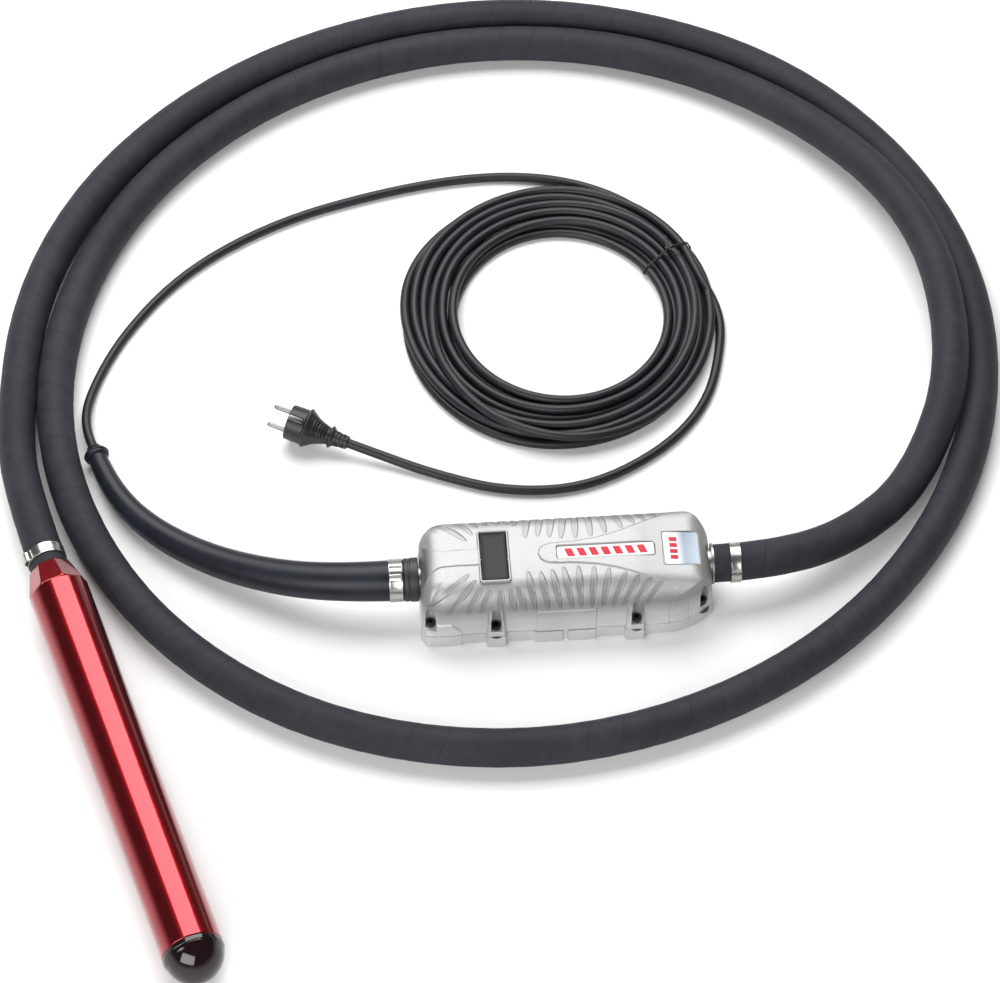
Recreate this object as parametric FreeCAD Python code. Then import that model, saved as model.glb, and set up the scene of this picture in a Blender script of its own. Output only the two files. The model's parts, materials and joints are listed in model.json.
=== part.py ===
import FreeCAD, Part
import math
import os

# High-frequency poker vibrator for fresh concrete, laid out on a floor (z = 0), in millimetres.
# Origin: the floor point under the middle of the converter. +X runs along the converter, from
# its mains end to its hose end; +Y leads away from a user who stands in front; +Z is up.

from FreeCAD import Vector

# ---------------------------------------------------------------- driving dimensions
# poker head
HEAD_START = Vector(-491.7, 44.0, 29.0)   # hose face of the adapter, on the head's axis
HEAD_HEADING = -73.5                      # degrees from +X, towards the tip
HEAD_R = 29.0
HEAD_BORE_R = 24.0
ADAPTER_LENGTH = 29.0
TUBE_END = 449.0                          # ring between tube and tip, from the hose face
TIP_COLLAR = 5.0
TIP_TAPER_END = 9.2                       # from the ring between tube and tip
TIP_LENGTH = 30.2
CLAMP_SETBACK = 16.0                      # head clamp's middle, behind the adapter
ADAPTER_SEAL = 44.0
TIP_SEAL = TUBE_END - 10.4
BARB_R = 12.2
BARB_LENGTH = 58.0
SHAFT_R = 9.0
SHAFT_START = 88.0
SHAFT_END = 425.0
STATOR_START = 128.0
STATOR_LENGTH = 98.0
ROTOR_R = 12.6
ECCENTRIC_START = 276.0
ECCENTRIC_LENGTH = 120.0
ECCENTRIC_R = 20.5
BEARING_STATIONS = {"upper": 98.0, "middle": 252.0, "lower": 406.0}
BEARING_WIDTH = 14.0
BEARING_OUTER_R = 22.0
RACE_OUTER_R = 18.75
RACE_INNER_R = 12.25
ROLLER_R = 3.1
ROLLER_PITCH_R = 15.5
ROLLER_COUNT = 8

# hoses and cables
HOSE_R = 18.5
HOSE_BORE_R = 12.5
LEAD_R = 5.5
TAIL_R_BOX = 20.0
TAIL_R_END = 9.5
CABLE_R = 4.75

# converter
BOX_LENGTH = 280.0
BOX_HALF_WIDTH = 48.5                     # of the front half
BACK_EXTRA = 5.0                          # the back half is wider by this
BOX_HEIGHT = 75.0
PARTING_Z = 18.0
WALL = 4.0
OUTLET_Z = 44.0
SPIGOT_R = 12.4
PAD_R = 21.0                              # round pad on each end wall, behind the spigots
OUTLET_THREAD_R = 15.0
INLET_THREAD_R = 12.9
NUT_WALL = 3.5                            # nut's corner radius beyond its thread
NUT_HEIGHT = 6.0
SCREW_SPOTS = [(-131.0, 40.5), (-69.0, 48.0), (65.0, 48.0), (129.0, 31.5)]
SCREW_SEAT_Z = 26.5
SCREW_HEAD_R = 4.25
SCREW_HEAD_H = 5.0
SCREW_R = 2.4
SWITCH_X = -68.0
SWITCH_HALF_X = 12.0
SWITCH_HALF_Y = 27.0
SWITCH_GAP = 0.8
BEZEL_HALF_X = 15.2
BEZEL_HALF_Y = 30.4
FRAME_TOP_Z = 70.9
FRAME_HALF_X = 15.0
FRAME_HALF_Y = 30.0
SWITCH_TOP_Z = 76.4
SWITCH_PIVOT_Z = 69.0
PIVOT_R = 1.2
BADGE_X = (93.0, 128.0)
BADGE_HALF_Y = 19.5
BADGE_FLOOR_Z = 71.2
BOARD_SPOTS = [(-112, -30), (-112, 30), (104, -30), (104, 30)]

# plug
PLUG_FRONT = Vector(-257.4, 215.6, 23.5)
PLUG_HEADING = -23.0
PLUG_DROP = 8.0
PLUG_ROLL = 20.0
PLUG_LENGTH = 63.0
PIN_R = 2.4
PIN_STEM_R = 2.0
PIN_NECK = 0.6
PIN_LENGTH = 19.0
PIN_SPACING = 19.0

# coil of spare cable
COIL_CENTRE = Vector(16.0, 348.0, 0.0)
COIL_HOLE_CENTRE = Vector(22.0, 347.0, 0.0)
COIL_R = 166.0
COIL_HOLE_R = 98.0
COIL_HEIGHT = 25.0
TIE_ANGLE = 28.0

# ---------------------------------------------------------------- routes (centre lines)
HOSE_ROUTE = [
    (-491.7, 44, 29), (-512, 113, 29), (-531, 216, 18.5), (-513, 413, 18.5),
    (-420, 583, 18.5), (-269, 705, 18.5), (-84, 762, 18.5), (106, 747, 18.5),
    (284, 657, 18.5), (406, 497, 18.5), (450, 305, 18.5), (410, 110, 18.5),
    (296, -51, 18.5), (135, -154, 18.5), (-55, -191, 18.5), (-246, -147, 18.5),
    (-395, -29, 18.5), (-483, 141, 18.5), (-493, 327, 18.5), (-421, 514, 18.5),
    (-280, 652, 18.5), (-96, 722, 18.5), (103, 710, 18.5), (279, 610, 24),
    (399, 439, 42), (413, 236, 48), (355, 102, 23), (277, 34, 27), (196, 0, 44), (142, 0, 44)]

TAIL_ROUTE = [
    (-154, 0, 44), (-204, 0, 44), (-272, 19, 31), (-340, 54, 18.5),
    (-398, 99, 14), (-435, 151, 13), (-447, 190, 12.7)]

SUPPLY_ROUTE = [
    (-451.15, 203.5, 12.6), (-461, 230, 12), (-454, 282, 4.75), (-419, 356, 4.75),
    (-356, 433, 4.75), (-264, 491, 4.75), (-160, 524, 4.75), (-56, 542, 4.75),
    (30, 535, 4.75), (100, 500, 6), (140, 446, 10)]

PLUG_ROUTE_TAIL = [
    (-120, 156, 4.75), (-47, 128, 4.75), (34, 128, 4.75), (114, 171, 4.75), (163, 229, 4.75),
    (183, 306, 4.75), (183, 345, 7), (166, 384, 16)]


# ---------------------------------------------------------------- helpers
def write(node, shape):
    shape.exportStep("parts/%s.step" % node)


def group(shapes):
    return Part.makeCompound(shapes)


def turned(outline):
    """Solid of revolution about +Z from (radius, height) points."""
    points = [Vector(r, 0, s) for r, s in outline]
    face = Part.Face(Part.makePolygon(points + points[:1]))
    return face.revolve(Vector(0, 0, 0), Vector(0, 0, 1), 360)


def ring(inner_r, outer_r, start, length):
    return turned([(inner_r, start), (outer_r, start), (outer_r, start + length), (inner_r, start + length)])


def rod(radius, start, length, x=0.0, y=0.0):
    return Part.makeCylinder(radius, length, Vector(x, y, start))


def box(low, high):
    size = [b - a for a, b in zip(low, high)]
    return Part.makeBox(size[0], size[1], size[2], Vector(*low))


def axis_vector(heading, drop=0.0):
    flat = math.cos(math.radians(drop))
    return Vector(flat * math.cos(math.radians(heading)), flat * math.sin(math.radians(heading)),
                  -math.sin(math.radians(drop)))


def along(shape, start, direction):
    """Moves a shape drawn along +Z so that +Z lies along direction, with its +X side downwards."""
    z_axis = Vector(direction).normalize()
    y_axis = z_axis.cross(Vector(0, 0, -1)).normalize()
    rotation = FreeCAD.Rotation(y_axis.cross(z_axis), y_axis, z_axis, "ZYX")
    moved = shape.copy()
    moved.Placement = FreeCAD.Placement(Vector(start), rotation).multiply(moved.Placement)
    return moved


def in_head(shape):
    return along(shape, HEAD_START, axis_vector(HEAD_HEADING))


def in_plug(shape):
    rolled = shape.copy()
    rolled.rotate(Vector(0, 0, 0), Vector(0, 0, 1), PLUG_ROLL)
    return along(rolled, PLUG_FRONT, axis_vector(PLUG_HEADING, PLUG_DROP))


def rounded_route(points, name):
    """Straight runs joined by tangent arcs, as one wire."""
    corners = [Vector(*p) for p in points]
    edges = []
    radii = []
    last = corners[0]
    for before, corner, after in zip(corners, corners[1:], corners[2:]):
        back = (before - corner).normalize()
        ahead = (after - corner).normalize()
        half_turn = (math.pi - back.getAngle(ahead)) / 2
        tangent = 0.45 * min((before - corner).Length, (after - corner).Length)
        radius = tangent / math.tan(half_turn)
        inward = (back + ahead).normalize()
        centre = corner + inward * (radius / math.cos(half_turn))
        arc_start = corner + back * tangent
        arc_end = corner + ahead * tangent
        edges.append(Part.LineSegment(last, arc_start).toShape())
        edges.append(Part.Arc(arc_start, centre - inward * radius, arc_end).toShape())
        radii.append(round(radius))
        last = arc_end
    edges.append(Part.LineSegment(last, corners[-1]).toShape())
    wire = Part.Wire(edges)
    print(name, "length", round(wire.Length), "radii", radii)
    return wire


def round_wire(radius, centre, direction):
    return Part.Wire(Part.Circle(centre, direction, radius).toShape())


def tube(wire, start_r, end_r=None):
    """Round bar along a wire, tapered when end_r is given."""
    start = wire.Edges[0].valueAt(wire.Edges[0].FirstParameter)
    start_dir = wire.Edges[0].tangentAt(wire.Edges[0].FirstParameter)
    sections = [round_wire(start_r, start, start_dir)]
    if end_r is not None:
        end = wire.Edges[-1].valueAt(wire.Edges[-1].LastParameter)
        end_dir = wire.Edges[-1].tangentAt(wire.Edges[-1].LastParameter)
        sections.append(round_wire(end_r, end, end_dir))
    return wire.makePipeShell(sections, True, False)


# ---------------------------------------------------------------- poker head
def head_tube():
    bore_lead = 1.0
    return turned([
        (HEAD_BORE_R, ADAPTER_LENGTH), (HEAD_R - 0.8, ADAPTER_LENGTH),
        (HEAD_R, ADAPTER_LENGTH + 0.8), (HEAD_R, TUBE_END - 0.8), (HEAD_R - 0.8, TUBE_END),
        (HEAD_BORE_R + bore_lead, TUBE_END), (HEAD_BORE_R, TUBE_END - bore_lead)])


def octagon(inner_r, height):
    corner_r = inner_r / math.cos(math.pi / 8)
    return Part.makePolygon([Vector(corner_r * math.cos(math.radians(22.5 + 45 * k)),
                                    corner_r * math.sin(math.radians(22.5 + 45 * k)), height)
                             for k in range(9)])


def head_adapter():
    """Eight-sided tapered cap, with a hose barb behind it and a spigot inside the tube."""
    flats = Part.makeLoft([octagon(19.5, 0), octagon(HEAD_R + 1.4, ADAPTER_LENGTH + 3)], True)
    flats.rotate(Vector(0, 0, 0), Vector(0, 0, 1), 10)
    cap = flats.common(rod(HEAD_R, 0, ADAPTER_LENGTH))
    neck = turned([(0, ADAPTER_LENGTH - 1), (HEAD_BORE_R - 0.1, ADAPTER_LENGTH - 1), (HEAD_BORE_R - 0.1, 50),
                   (20, 52), (0, 52)])
    barb_outline = [(0, 1), (BARB_R - 1, 1)]
    for index in range(5):
        foot = -4.0 - 10.5 * index
        barb_outline += [(BARB_R - 1, foot), (BARB_R, foot - 1), (BARB_R - 1, foot - 9)]
    barb_outline += [(BARB_R - 2, -BARB_LENGTH), (0, -BARB_LENGTH)]
    body = cap.fuse([neck, turned(barb_outline)])
    passage = rod(LEAD_R + 2.5, -BARB_LENGTH - 1, BARB_LENGTH + 60)
    return body.cut([passage, seal_groove(ADAPTER_SEAL)]).removeSplitter()


def head_tip():
    """Hardened nose: a collar flush with the tube, a short taper, a dome, and a spigot in the tube."""
    collar_end = TUBE_END + TIP_COLLAR
    taper_end = TUBE_END + TIP_TAPER_END
    nose = TUBE_END + TIP_LENGTH
    dome_base_r = 27.2
    dome_height = nose - taper_end
    dome_r = (dome_base_r ** 2 + dome_height ** 2) / (2 * dome_height)
    half_angle = math.asin(dome_base_r / dome_r) / 2
    centre_s = nose - dome_r
    arc = Part.Arc(Vector(dome_base_r, 0, taper_end),
                   Vector(dome_r * math.sin(half_angle), 0, centre_s + dome_r * math.cos(half_angle)),
                   Vector(0, 0, nose)).toShape()
    corners = [
        (0, nose), (0, TUBE_END - 22), (19, TUBE_END - 22), (HEAD_BORE_R - 0.1, TUBE_END - 18),
        (HEAD_BORE_R - 0.1, TUBE_END), (HEAD_R - 0.6, TUBE_END), (HEAD_R, TUBE_END + 0.6),
        (HEAD_R, collar_end - 0.4), (HEAD_R - 0.5, collar_end), (dome_base_r, taper_end)]
    straight = Part.makePolygon([Vector(r, 0, s) for r, s in corners])
    face = Part.Face(Part.Wire(Part.__sortEdges__(straight.Edges + [arc])))
    body = face.revolve(Vector(0, 0, 0), Vector(0, 0, 1), 360)
    return body.cut(seal_groove(TIP_SEAL))


def seal_groove(station):
    return ring(HEAD_BORE_R - 2.6, HEAD_BORE_R + 1, station - 1.6, 3.2)


def seal(station):
    return Part.makeTorus(HEAD_BORE_R - 1.35, 1.1, Vector(0, 0, station))


def stator_core():
    """Laminated stack with slots open to the bore, on the head's axis."""
    core = ring(ROTOR_R + 0.5, HEAD_BORE_R - 0.1, STATOR_START, STATOR_LENGTH)
    slots = []
    for index in range(12):
        slot = box((ROTOR_R - 1, -1.6, STATOR_START - 1), (20.5, 1.6, STATOR_START + STATOR_LENGTH + 1))
        slot.rotate(Vector(0, 0, 0), Vector(0, 0, 1), 30 * index + 15)
        slots.append(slot)
    return core.cut(group(slots))


def stator_windings():
    """Conductors in the slots, and a bound end winding at each end of the stack."""
    bars = [end_winding(STATOR_START - 11, 10.5), end_winding(STATOR_START + STATOR_LENGTH + 0.5, 10.5)]
    for index in range(12):
        bar = box((14.6, -1.35, STATOR_START), (20.2, 1.35, STATOR_START + STATOR_LENGTH))
        bar.rotate(Vector(0, 0, 0), Vector(0, 0, 1), 30 * index + 15)
        bars.append(bar)
    return group(bars)


def end_winding(start, length):
    middle = start + length / 2
    return turned([(15.6, start), (20.6, start), (22.2, middle), (20.6, start + length),
                   (15.6, start + length), (14.6, middle)])


def rotor_shaft():
    return turned([(0, SHAFT_START), (SHAFT_R - 1, SHAFT_START), (SHAFT_R, SHAFT_START + 1),
                   (SHAFT_R, SHAFT_END - 1), (SHAFT_R - 1, SHAFT_END), (0, SHAFT_END)])


def rotor_core():
    core = ring(SHAFT_R, ROTOR_R, STATOR_START, STATOR_LENGTH)
    end_rings = [ring(SHAFT_R, ROTOR_R - 0.6, STATOR_START - 5, 5),
                 ring(SHAFT_R, ROTOR_R - 0.6, STATOR_START + STATOR_LENGTH, 5)]
    return core.fuse(end_rings).removeSplitter()


def eccentric_weight():
    """Half-round steel weight pressed on the shaft, heavy side at +X."""
    sleeve = ring(SHAFT_R, SHAFT_R + 3.0, ECCENTRIC_START, ECCENTRIC_LENGTH)
    half = Part.makeCylinder(ECCENTRIC_R, ECCENTRIC_LENGTH, Vector(0, 0, ECCENTRIC_START),
                             Vector(0, 0, 1), 180)
    half.rotate(Vector(0, 0, 0), Vector(0, 0, 1), -90)
    half = half.cut(rod(SHAFT_R, ECCENTRIC_START - 1, ECCENTRIC_LENGTH + 2))
    return sleeve.fuse(half).removeSplitter()


def bearing_rollers(station):
    start = station + 2.5
    rollers = []
    for index in range(ROLLER_COUNT):
        angle = math.radians(360.0 / ROLLER_COUNT * index)
        rollers.append(rod(ROLLER_R, start, BEARING_WIDTH - 5, ROLLER_PITCH_R * math.cos(angle),
                           ROLLER_PITCH_R * math.sin(angle)))
    return rollers


def bearing_cage(station):
    cage = ring(ROLLER_PITCH_R - 1.6, ROLLER_PITCH_R + 1.6, station + 1, BEARING_WIDTH - 2)
    pockets = []
    for index in range(ROLLER_COUNT):
        angle = math.radians(360.0 / ROLLER_COUNT * index)
        pockets.append(rod(ROLLER_R + 0.15, station + 2.3, BEARING_WIDTH - 4.6,
                           ROLLER_PITCH_R * math.cos(angle), ROLLER_PITCH_R * math.sin(angle)))
    return cage.cut(group(pockets))


def bearing_carrier(station):
    sleeve = ring(BEARING_OUTER_R + 0.05, HEAD_BORE_R - 0.1, station - 2, BEARING_WIDTH + 4)
    lip = ring(RACE_OUTER_R + 0.5, HEAD_BORE_R - 0.1, station + BEARING_WIDTH, 2)
    return sleeve.fuse(lip).removeSplitter()


def shaft_circlips():
    clips = []
    for station in (BEARING_STATIONS["upper"] - 1.5, BEARING_STATIONS["lower"] + BEARING_WIDTH):
        clip = ring(SHAFT_R, SHAFT_R + 2, station, 1.5)
        gap = box((SHAFT_R - 2, -1.5, station - 1), (SHAFT_R + 3, 1.5, station + 3))
        clips.append(clip.cut(gap))
    return group(clips)


def lead_splice():
    """Insulated block where the motor lead joins the stator leads."""
    block = rod(15, 56, 24)
    return block.cut(group([box((-16, 12, 55), (16, 16, 81)), box((-16, -16, 55), (16, -12, 81))]))


def preload_washer():
    start = BEARING_STATIONS["upper"] - 3.4
    return ring(19.2, 21.8, start, 1.2)


# ---------------------------------------------------------------- hoses, clamps and cables
def main_hose(wire):
    return tube(wire, HOSE_R).cut(tube(wire, HOSE_BORE_R))


def tail_hose(wire):
    """Tapered operator's hose with a bore for the cable and for the spigot at its wide end."""
    bore = tube(wire, CABLE_R + 0.8)
    start = Vector(*TAIL_ROUTE[0])
    socket = Part.makeCylinder(SPIGOT_R + 0.1, 18.5, start, Vector(-1, 0, 0))
    return tube(wire, TAIL_R_BOX, TAIL_R_END).cut(bore).cut(socket)


def hose_clamp(bore_r, width):
    """Pinched ear clamp of steel band, its ear on the +X side, centred on the origin about +Z."""
    band = ring(bore_r, bore_r + 1.0, -width / 2, width)
    wide = width / 2 + 0.6
    ear_block = box((bore_r + 0.4, -5.5, -wide), (bore_r + 4.6, 5.5, wide))
    waists = [Part.makeCylinder(1.7, 2 * wide + 2, Vector(bore_r + 2.3, side * 5.9, -wide - 1))
              for side in (-1, 1)]
    hollow = box((bore_r + 1.6, -3.2, -wide - 1), (bore_r + 3.6, 3.2, wide + 1))
    return band.fuse(ear_block).cut(group(waists + [hollow])).removeSplitter()


def clamp_on(centre, direction, bore_r, width, roll):
    clamp = hose_clamp(bore_r, width)
    clamp.rotate(Vector(0, 0, 0), Vector(0, 0, 1), roll)
    return along(clamp, centre, direction)


def grommet():
    """Rubber end ring of the tail hose, with the cable through it."""
    direction = Vector(*SUPPLY_ROUTE[0]) - Vector(*TAIL_ROUTE[-1])
    length = direction.Length
    bore = CABLE_R + 0.6
    body = turned([(bore, 0), (TAIL_R_END, 0), (12.0, 1.5), (12.7, 3.2), (12.7, 6.0), (11.5, 8.0),
                   (8.5, 9.0), (7.0, length), (bore, length)])
    return along(body, Vector(*TAIL_ROUTE[-1]), direction)


def plug_route():
    start = PLUG_FRONT + axis_vector(PLUG_HEADING, PLUG_DROP) * PLUG_LENGTH
    straight = start + axis_vector(PLUG_HEADING, PLUG_DROP) * 30.0
    return [tuple(start), tuple(straight)] + PLUG_ROUTE_TAIL


def cable_coil():
    """Outer shape of the tied coil: a low round-edged ring."""
    disc = Part.makeCylinder(COIL_R, COIL_HEIGHT, COIL_CENTRE)
    hole = Part.makeCylinder(COIL_HOLE_R, COIL_HEIGHT, COIL_HOLE_CENTRE)
    body = disc.cut(hole)
    rims = [edge for edge in body.Edges if edge.BoundBox.ZLength < 0.01]
    return body.makeFillet(9.0, rims)


def cable_tie():
    """Thin cord looped round the section of the coil."""
    angle = math.radians(TIE_ANGLE)
    outward = Vector(math.cos(angle), math.sin(angle), 0)
    side = Vector(-math.sin(angle), math.cos(angle), 0)
    inner = COIL_HOLE_CENTRE + outward * (COIL_HOLE_R - 2.6)
    span = COIL_R - COIL_HOLE_R - 6.0 * math.cos(angle) + 4.6
    loop_outer = Part.makeBox(span, 3.2, COIL_HEIGHT + 1.4, Vector(0, -1.6, 0))
    loop_inner = Part.makeBox(span - 4.2, 5, COIL_HEIGHT - 1.4, Vector(2.1, -2.5, 1.4))
    loop = loop_outer.cut(loop_inner)
    knot = Part.makeSphere(2.6, Vector(30, 0, COIL_HEIGHT + 2.6))
    body = loop.fuse(knot)
    rotation = FreeCAD.Rotation(outward, side, Vector(0, 0, 1), "ZXY")
    body.Placement = FreeCAD.Placement(inner, rotation)
    return body


# ---------------------------------------------------------------- plug
def plug_body():
    outline = [(0, 0), (16.8, 0), (17.7, 1.0), (17.9, 17.5), (20.3, 18.4), (20.3, 21.0), (17.5, 24.5),
               (13.8, 28.5), (8.6, 42.8), (11.0, 43.8), (11.0, 46.0), (8.8, 48.5), (0, 48.5)]
    body = turned(outline)
    recess = Part.makeCylinder(4.0, 3.0, Vector(0, 0, 0))
    strips = [box((15.9, -3.0, -1), (20, 3.0, 15.0)), box((-20, -3.0, -1), (-15.9, 3.0, 15.0))]
    bores = [rod(PIN_STEM_R, -1, 12, 0, side * PIN_SPACING / 2) for side in (-1, 1)]
    core = rod(CABLE_R, 40, 10)
    return body.cut(group([recess, core] + strips + bores))


def plug_pins():
    pins = []
    for side in (-1, 1):
        pin = turned([(0, -PIN_LENGTH), (1.2, -PIN_LENGTH), (PIN_R, -PIN_LENGTH + 2.2),
                      (PIN_R, -PIN_NECK), (PIN_STEM_R, -PIN_NECK), (PIN_STEM_R, 11), (0, 11)])
        pin.translate(Vector(0, side * PIN_SPACING / 2, 0))
        pins.append(pin)
    return group(pins)


def plug_earth_clips():
    clips = []
    for side in (-1, 1):
        clip = box((15.9, -2.6, 0), (17.6, 2.6, 15.0))
        if side < 0:
            clip.rotate(Vector(0, 0, 0), Vector(0, 0, 1), 180)
        clips.append(clip)
    return group(clips)


def plug_relief():
    """Ribbed bend relief moulded behind the plug."""
    relief = ring(CABLE_R, 7.3, 48.5, PLUG_LENGTH - 48.5)
    cuts = []
    for index in range(3):
        start = 51.0 + 3.6 * index
        for quarter in range(4):
            notch = box((5.6, -3.4, start), (9, 3.4, start + 1.7))
            notch.rotate(Vector(0, 0, 0), Vector(0, 0, 1), 90 * quarter + 45)
            cuts.append(notch)
    return relief.cut(group(cuts))


# ---------------------------------------------------------------- converter
def half_plan(inset, extra):
    """Edges of the converter outline on its +Y side, widened by extra."""
    half_l = BOX_LENGTH / 2 - inset
    half_w = BOX_HALF_WIDTH + extra - inset
    corner = 9.0
    taper_x = 92.0
    nose_w = 27.0 - inset
    pieces = [
        Part.LineSegment(Vector(-half_l, 0, 0), Vector(-half_l, half_w - corner, 0)),
        Part.Arc(Vector(-half_l, half_w - corner, 0),
                 Vector(-half_l + corner * 0.293, half_w - corner * 0.293, 0),
                 Vector(-half_l + corner, half_w, 0)),
        Part.LineSegment(Vector(-half_l + corner, half_w, 0), Vector(taper_x, half_w, 0)),
        Part.Arc(Vector(taper_x, half_w, 0), Vector(120 - inset * 0.5, half_w - 6.5, 0),
                 Vector(half_l, nose_w, 0)),
        Part.LineSegment(Vector(half_l, nose_w, 0), Vector(half_l, 0, 0))]
    return [piece.toShape() for piece in pieces]


def plan_form(inset, low_z, high_z):
    """Converter outline seen from above, shrunk by inset and pulled up."""
    front = Part.Wire(half_plan(inset, 0)).mirror(Vector(0, 0, 0), Vector(0, 1, 0))
    outline = Part.Wire(Part.__sortEdges__(half_plan(inset, BACK_EXTRA) + front.Edges))
    form = Part.Face(outline).extrude(Vector(0, 0, high_z - low_z))
    form.translate(Vector(0, 0, low_z))
    return form


def cross_form(inset):
    """Section across the converter: near-upright sides rolling over into a slightly crowned top."""
    front = inset - BOX_HALF_WIDTH
    back = BOX_HALF_WIDTH + BACK_EXTRA - inset
    top = BOX_HEIGHT - inset
    edges = [
        Part.LineSegment(Vector(0, front, -5), Vector(0, back, -5)),
        Part.LineSegment(Vector(0, back, -5), Vector(0, back, PARTING_Z)),
        Part.LineSegment(Vector(0, back, PARTING_Z), Vector(0, back - 1.5, 46)),
        Part.Arc(Vector(0, back - 1.5, 46), Vector(0, back - 8.0, top - 7.0),
                 Vector(0, back - 23, top - 0.8)),
        Part.Arc(Vector(0, back - 23, top - 0.8), Vector(0, 3, top), Vector(0, front + 23, top - 1.2)),
        Part.Arc(Vector(0, front + 23, top - 1.2), Vector(0, front + 8.0, top - 8.5),
                 Vector(0, front + 1.5, 46)),
        Part.LineSegment(Vector(0, front + 1.5, 46), Vector(0, front, PARTING_Z)),
        Part.LineSegment(Vector(0, front, PARTING_Z), Vector(0, front, -5))]
    face = Part.Face(Part.Wire([edge.toShape() for edge in edges]))
    form = face.extrude(Vector(BOX_LENGTH + 20, 0, 0))
    form.translate(Vector(-BOX_LENGTH / 2 - 10, 0, 0))
    return form


def length_form(inset):
    """Section along the converter: both ends roll over, the hose end more."""
    half_l = BOX_LENGTH / 2 - inset
    top = BOX_HEIGHT - inset
    edges = [
        Part.LineSegment(Vector(-half_l, 0, -5), Vector(half_l, 0, -5)),
        Part.LineSegment(Vector(half_l, 0, -5), Vector(half_l, 0, 50)),
        Part.Arc(Vector(half_l, 0, 50), Vector(half_l - 7, 0, top - 9.5), Vector(half_l - 24, 0, top - 2.5)),
        Part.LineSegment(Vector(half_l - 24, 0, top - 2.5), Vector(half_l - 60, 0, top)),
        Part.LineSegment(Vector(half_l - 60, 0, top), Vector(-half_l + 22, 0, top)),
        Part.Arc(Vector(-half_l + 22, 0, top), Vector(-half_l + 6.5, 0, top - 7), Vector(-half_l, 0, 50)),
        Part.LineSegment(Vector(-half_l, 0, 50), Vector(-half_l, 0, -5))]
    face = Part.Face(Part.Wire([edge.toShape() for edge in edges]))
    form = face.extrude(Vector(0, 2 * BOX_HALF_WIDTH + 20, 0))
    form.translate(Vector(0, -BOX_HALF_WIDTH - 10, 0))
    return form


def housing_form(inset, low_z, high_z):
    return plan_form(inset, low_z, high_z).common(cross_form(inset)).common(length_form(inset))


def screw_places():
    return [(x, y) for x, reach in SCREW_SPOTS for y in (-reach, reach + BACK_EXTRA)]


def boss(x, y, low_z, high_z, radius):
    return Part.makeCylinder(radius, high_z - low_z, Vector(x, y, low_z))


def upper_housing():
    outside = housing_form(0, PARTING_Z, BOX_HEIGHT)
    shell = outside.cut(housing_form(WALL, PARTING_Z - 5, BOX_HEIGHT - WALL))
    pillars = group([boss(x, y, PARTING_Z, 64.0, 8.0) for x, y in screw_places()]).common(outside)
    body = shell.fuse([pillars] + housing_raised_parts())
    return body.cut(group(housing_cuts())).removeSplitter()


def housing_raised_parts():
    """Screw bosses, side panels, end pads, bezel, strip and island."""
    panel_top = 46
    front_y = -BOX_HALF_WIDTH
    back_y = BOX_HALF_WIDTH + BACK_EXTRA
    parts = [boss(x, y, PARTING_Z, SCREW_SEAT_Z + 3.5, 8.0) for x, y in screw_places()]
    parts += [box((-30, front_y - 1.2, PARTING_Z), (27, front_y + 3, panel_top)),
              box((-30, back_y - 3, PARTING_Z), (27, back_y + 1.2, panel_top))]
    parts += [end_cylinder(side, PAD_R, 0, 12) for side in (-1, 1)]
    parts += [box((SWITCH_X - BEZEL_HALF_X, -BEZEL_HALF_Y, FRAME_TOP_Z + 0.1),
                  (SWITCH_X + BEZEL_HALF_X, BEZEL_HALF_Y, SWITCH_TOP_Z)),
              box((-118, -9.5, BOX_HEIGHT - 4), (SWITCH_X - 15, 9.5, SWITCH_TOP_Z - 1.2)),
              nose_island(BOX_HEIGHT - 5, SWITCH_TOP_Z)]
    return parts


def housing_cuts():
    """Screw holes, switch well, label slot, badge recess, and the spigot holes with their nut seats."""
    well_x = SWITCH_HALF_X + SWITCH_GAP
    well_y = SWITCH_HALF_Y + SWITCH_GAP
    cuts = [boss(x, y, PARTING_Z - 1, SCREW_SEAT_Z + 1, SCREW_R + 0.35) for x, y in screw_places()]
    cuts += [boss(x, y, SCREW_SEAT_Z, BOX_HEIGHT + 1, SCREW_HEAD_R + 0.6) for x, y in screw_places()]
    cuts += [box((SWITCH_X - well_x, -well_y, 60), (SWITCH_X + well_x, well_y, 90)),
             box((SWITCH_X - FRAME_HALF_X, -FRAME_HALF_Y, 60),
                 (SWITCH_X + FRAME_HALF_X, FRAME_HALF_Y, FRAME_TOP_Z + 0.1)),
             box((-9, -8.5, SWITCH_TOP_Z - 2.0), (86, 8.5, 90)),
             box((BADGE_X[0], -BADGE_HALF_Y, BADGE_FLOOR_Z), (BADGE_X[1], BADGE_HALF_Y, 90))]
    for side, thread_r in ((1, OUTLET_THREAD_R), (-1, INLET_THREAD_R)):
        cuts.append(end_cylinder(side, thread_r + 0.1, -5, 25))
        cuts.append(end_cylinder(side, thread_r + NUT_WALL + 0.2, WALL, 25))
    return cuts


def end_cylinder(side, radius, depth_from, depth_to):
    """Cylinder on the spigot axis, from one depth inside an end face to another."""
    start = Vector(side * (BOX_LENGTH / 2 - depth_from), 0, OUTLET_Z)
    return Part.makeCylinder(radius, depth_to - depth_from, start, Vector(-side, 0, 0))


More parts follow.
